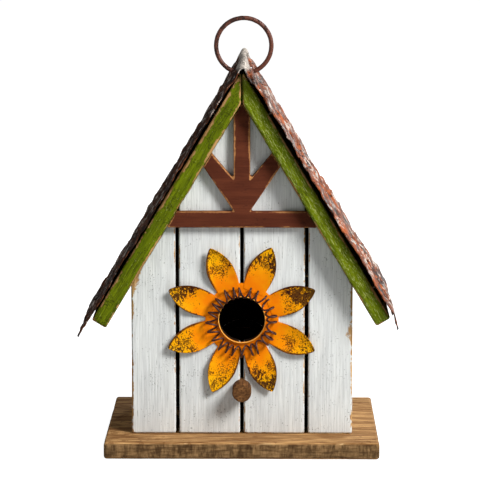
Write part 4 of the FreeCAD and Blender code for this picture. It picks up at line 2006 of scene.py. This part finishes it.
# Nearly black painted shade for the faces inside the box, the inner strips and the entrance's edge,
# not the wood's own colour.
SHADED_INSIDE = BareWood("inside_painted_shade", paint(44, 32, 22), paint(24, 17, 12), GrainRun.ACROSS,
                       worn_edges=False)
RUSTY_WIRE = BareMetal("rusty_wire", paint(106, 56, 38), paint(54, 26, 16), 0.5, metallic=0.15,
                       rough=0.5)
COIL_WIRE = BareMetal("coil_wire", paint(76, 38, 26), paint(38, 17, 12), 0.45, metallic=0.1,
                      rough=0.5)
BRIGHT_STEEL = BareMetal("bright_steel", paint(178, 176, 172), paint(112, 74, 50), 0.1)
ZINC_STEEL = BareMetal("zinc_steel", paint(190, 190, 186), paint(120, 96, 74), 0.05)
NAIL_RUST = BareMetal("nail_rust", paint(120, 110, 100), paint(98, 56, 34), 0.4)


def wooden_pieces() -> list[Timber]:
    """Lists the wooden pieces that are made anew.

    Returns:
        The pieces, ready to build.
    """
    white = "whitewashed_wood"
    pieces: list[Timber] = [
        BaseBoard("base_board", OILED_PINE, "base_wood", round_over=0.6 * MM, voxel=1.5 * MM,
                  chip_depth=0.3 * MM, sway=0.15 * MM),
        BackWall("back_wall", WHITEWASH, white, voxel=1.7 * MM, seed=3.0,
                 inner_face=Vector((0, -1, 0)), inner_shade=SHADED_INSIDE),
        GableTrim("gable_trim", BARN_BROWN, "brown_painted_wood", round_over=0.3 * MM,
                  voxel=0.7 * MM, chip_reach=1.0 * MM, chip_depth=0.15 * MM, sway=0.1 * MM),
        Perch("perch", DARK_DOWEL, "stained_dowel", round_over=0.35 * MM, voxel=0.5 * MM,
              chip_depth=0.25 * MM, sway=0.08 * MM),
        CleanoutCover("cleanout_cover", WHITEWASH, white, body="cover", voxel=1.1 * MM,
                      sway=0.12 * MM, seed=5.0, inner_face=Vector((0, -1, 0)),
                      inner_shade=SHADED_INSIDE),
    ]
    for side in Side:
        inwards = Vector((-side.value, 0, 0))
        for place in ("inner", "outer"):
            node = f"front_plank_{side.word}_{place}"
            pieces.append(FrontPlank(node, WHITEWASH, white, side=side, round_over=0.35 * MM,
                                     voxel=1.0 * MM, chip_reach=1.2 * MM, chip_depth=0.25 * MM,
                                     seed=side.value * len(place),
                                     worn_height=(103 - 17 * side.value) * MM,
                                     inner_face=Vector((0, 1, 0)), inner_shade=SHADED_INSIDE))
        pieces.append(SideWall(f"side_wall_{side.word}", WHITEWASH, white, side=side,
                               voxel=1.6 * MM, seed=side.value * 7.0, inner_face=inwards,
                               inner_shade=SHADED_INSIDE))
        pieces.append(RoofBoard(f"roof_board_{side.word}", LEAF_GREEN[side], "green_wood",
                                side=side, round_over=0.4 * MM, voxel=1.2 * MM,
                                chip_reach=1.2 * MM, chip_depth=0.2 * MM, sway=0.15 * MM,
                                seed=side.value * 9.0,
                                longer=2.0 * MM if side is Side.LEFT else 0.0))
    return pieces


def metal_pieces() -> list[TinRoof | Sunflower | WireCoil | HangingRing]:
    """Lists the metal pieces that are made anew."""
    return [TinRoof(), Sunflower(), WireCoil(COIL_WIRE), HangingRing(RUSTY_WIRE)]


def kept_nodes() -> list[KeptNodes]:
    """Lists the strips and fasteners that keep their CAD shape.

    Returns:
        The nodes with their finishes.
    """
    return [
        KeptNodes(SHADED_INSIDE, ("batten_lower", "batten_upper")),
        KeptNodes(BRIGHT_STEEL, ("batten_brads", "trim_pins", "batten_end_nails",
                                 "back_wall_nails", "roof_board_nails")),
        KeptNodes(FlowerEnamel("tack_enamel"), ("flower_tacks",)),
        KeptNodes(NAIL_RUST, ("roof_sheet_tacks",)),
        KeptNodes(ZINC_STEEL, ("pivot_screw", "base_screws")),
    ]


def main() -> None:
    """Builds every sub-assembly in order."""
    logging.basicConfig(level=logging.INFO, format="%(name)s: %(message)s")
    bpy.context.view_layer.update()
    effects = Effects()
    for part in (*wooden_pieces(), *metal_pieces(), *kept_nodes()):
        part.build(effects)
    Studio().build()


if __name__ == "__main__":
    main()
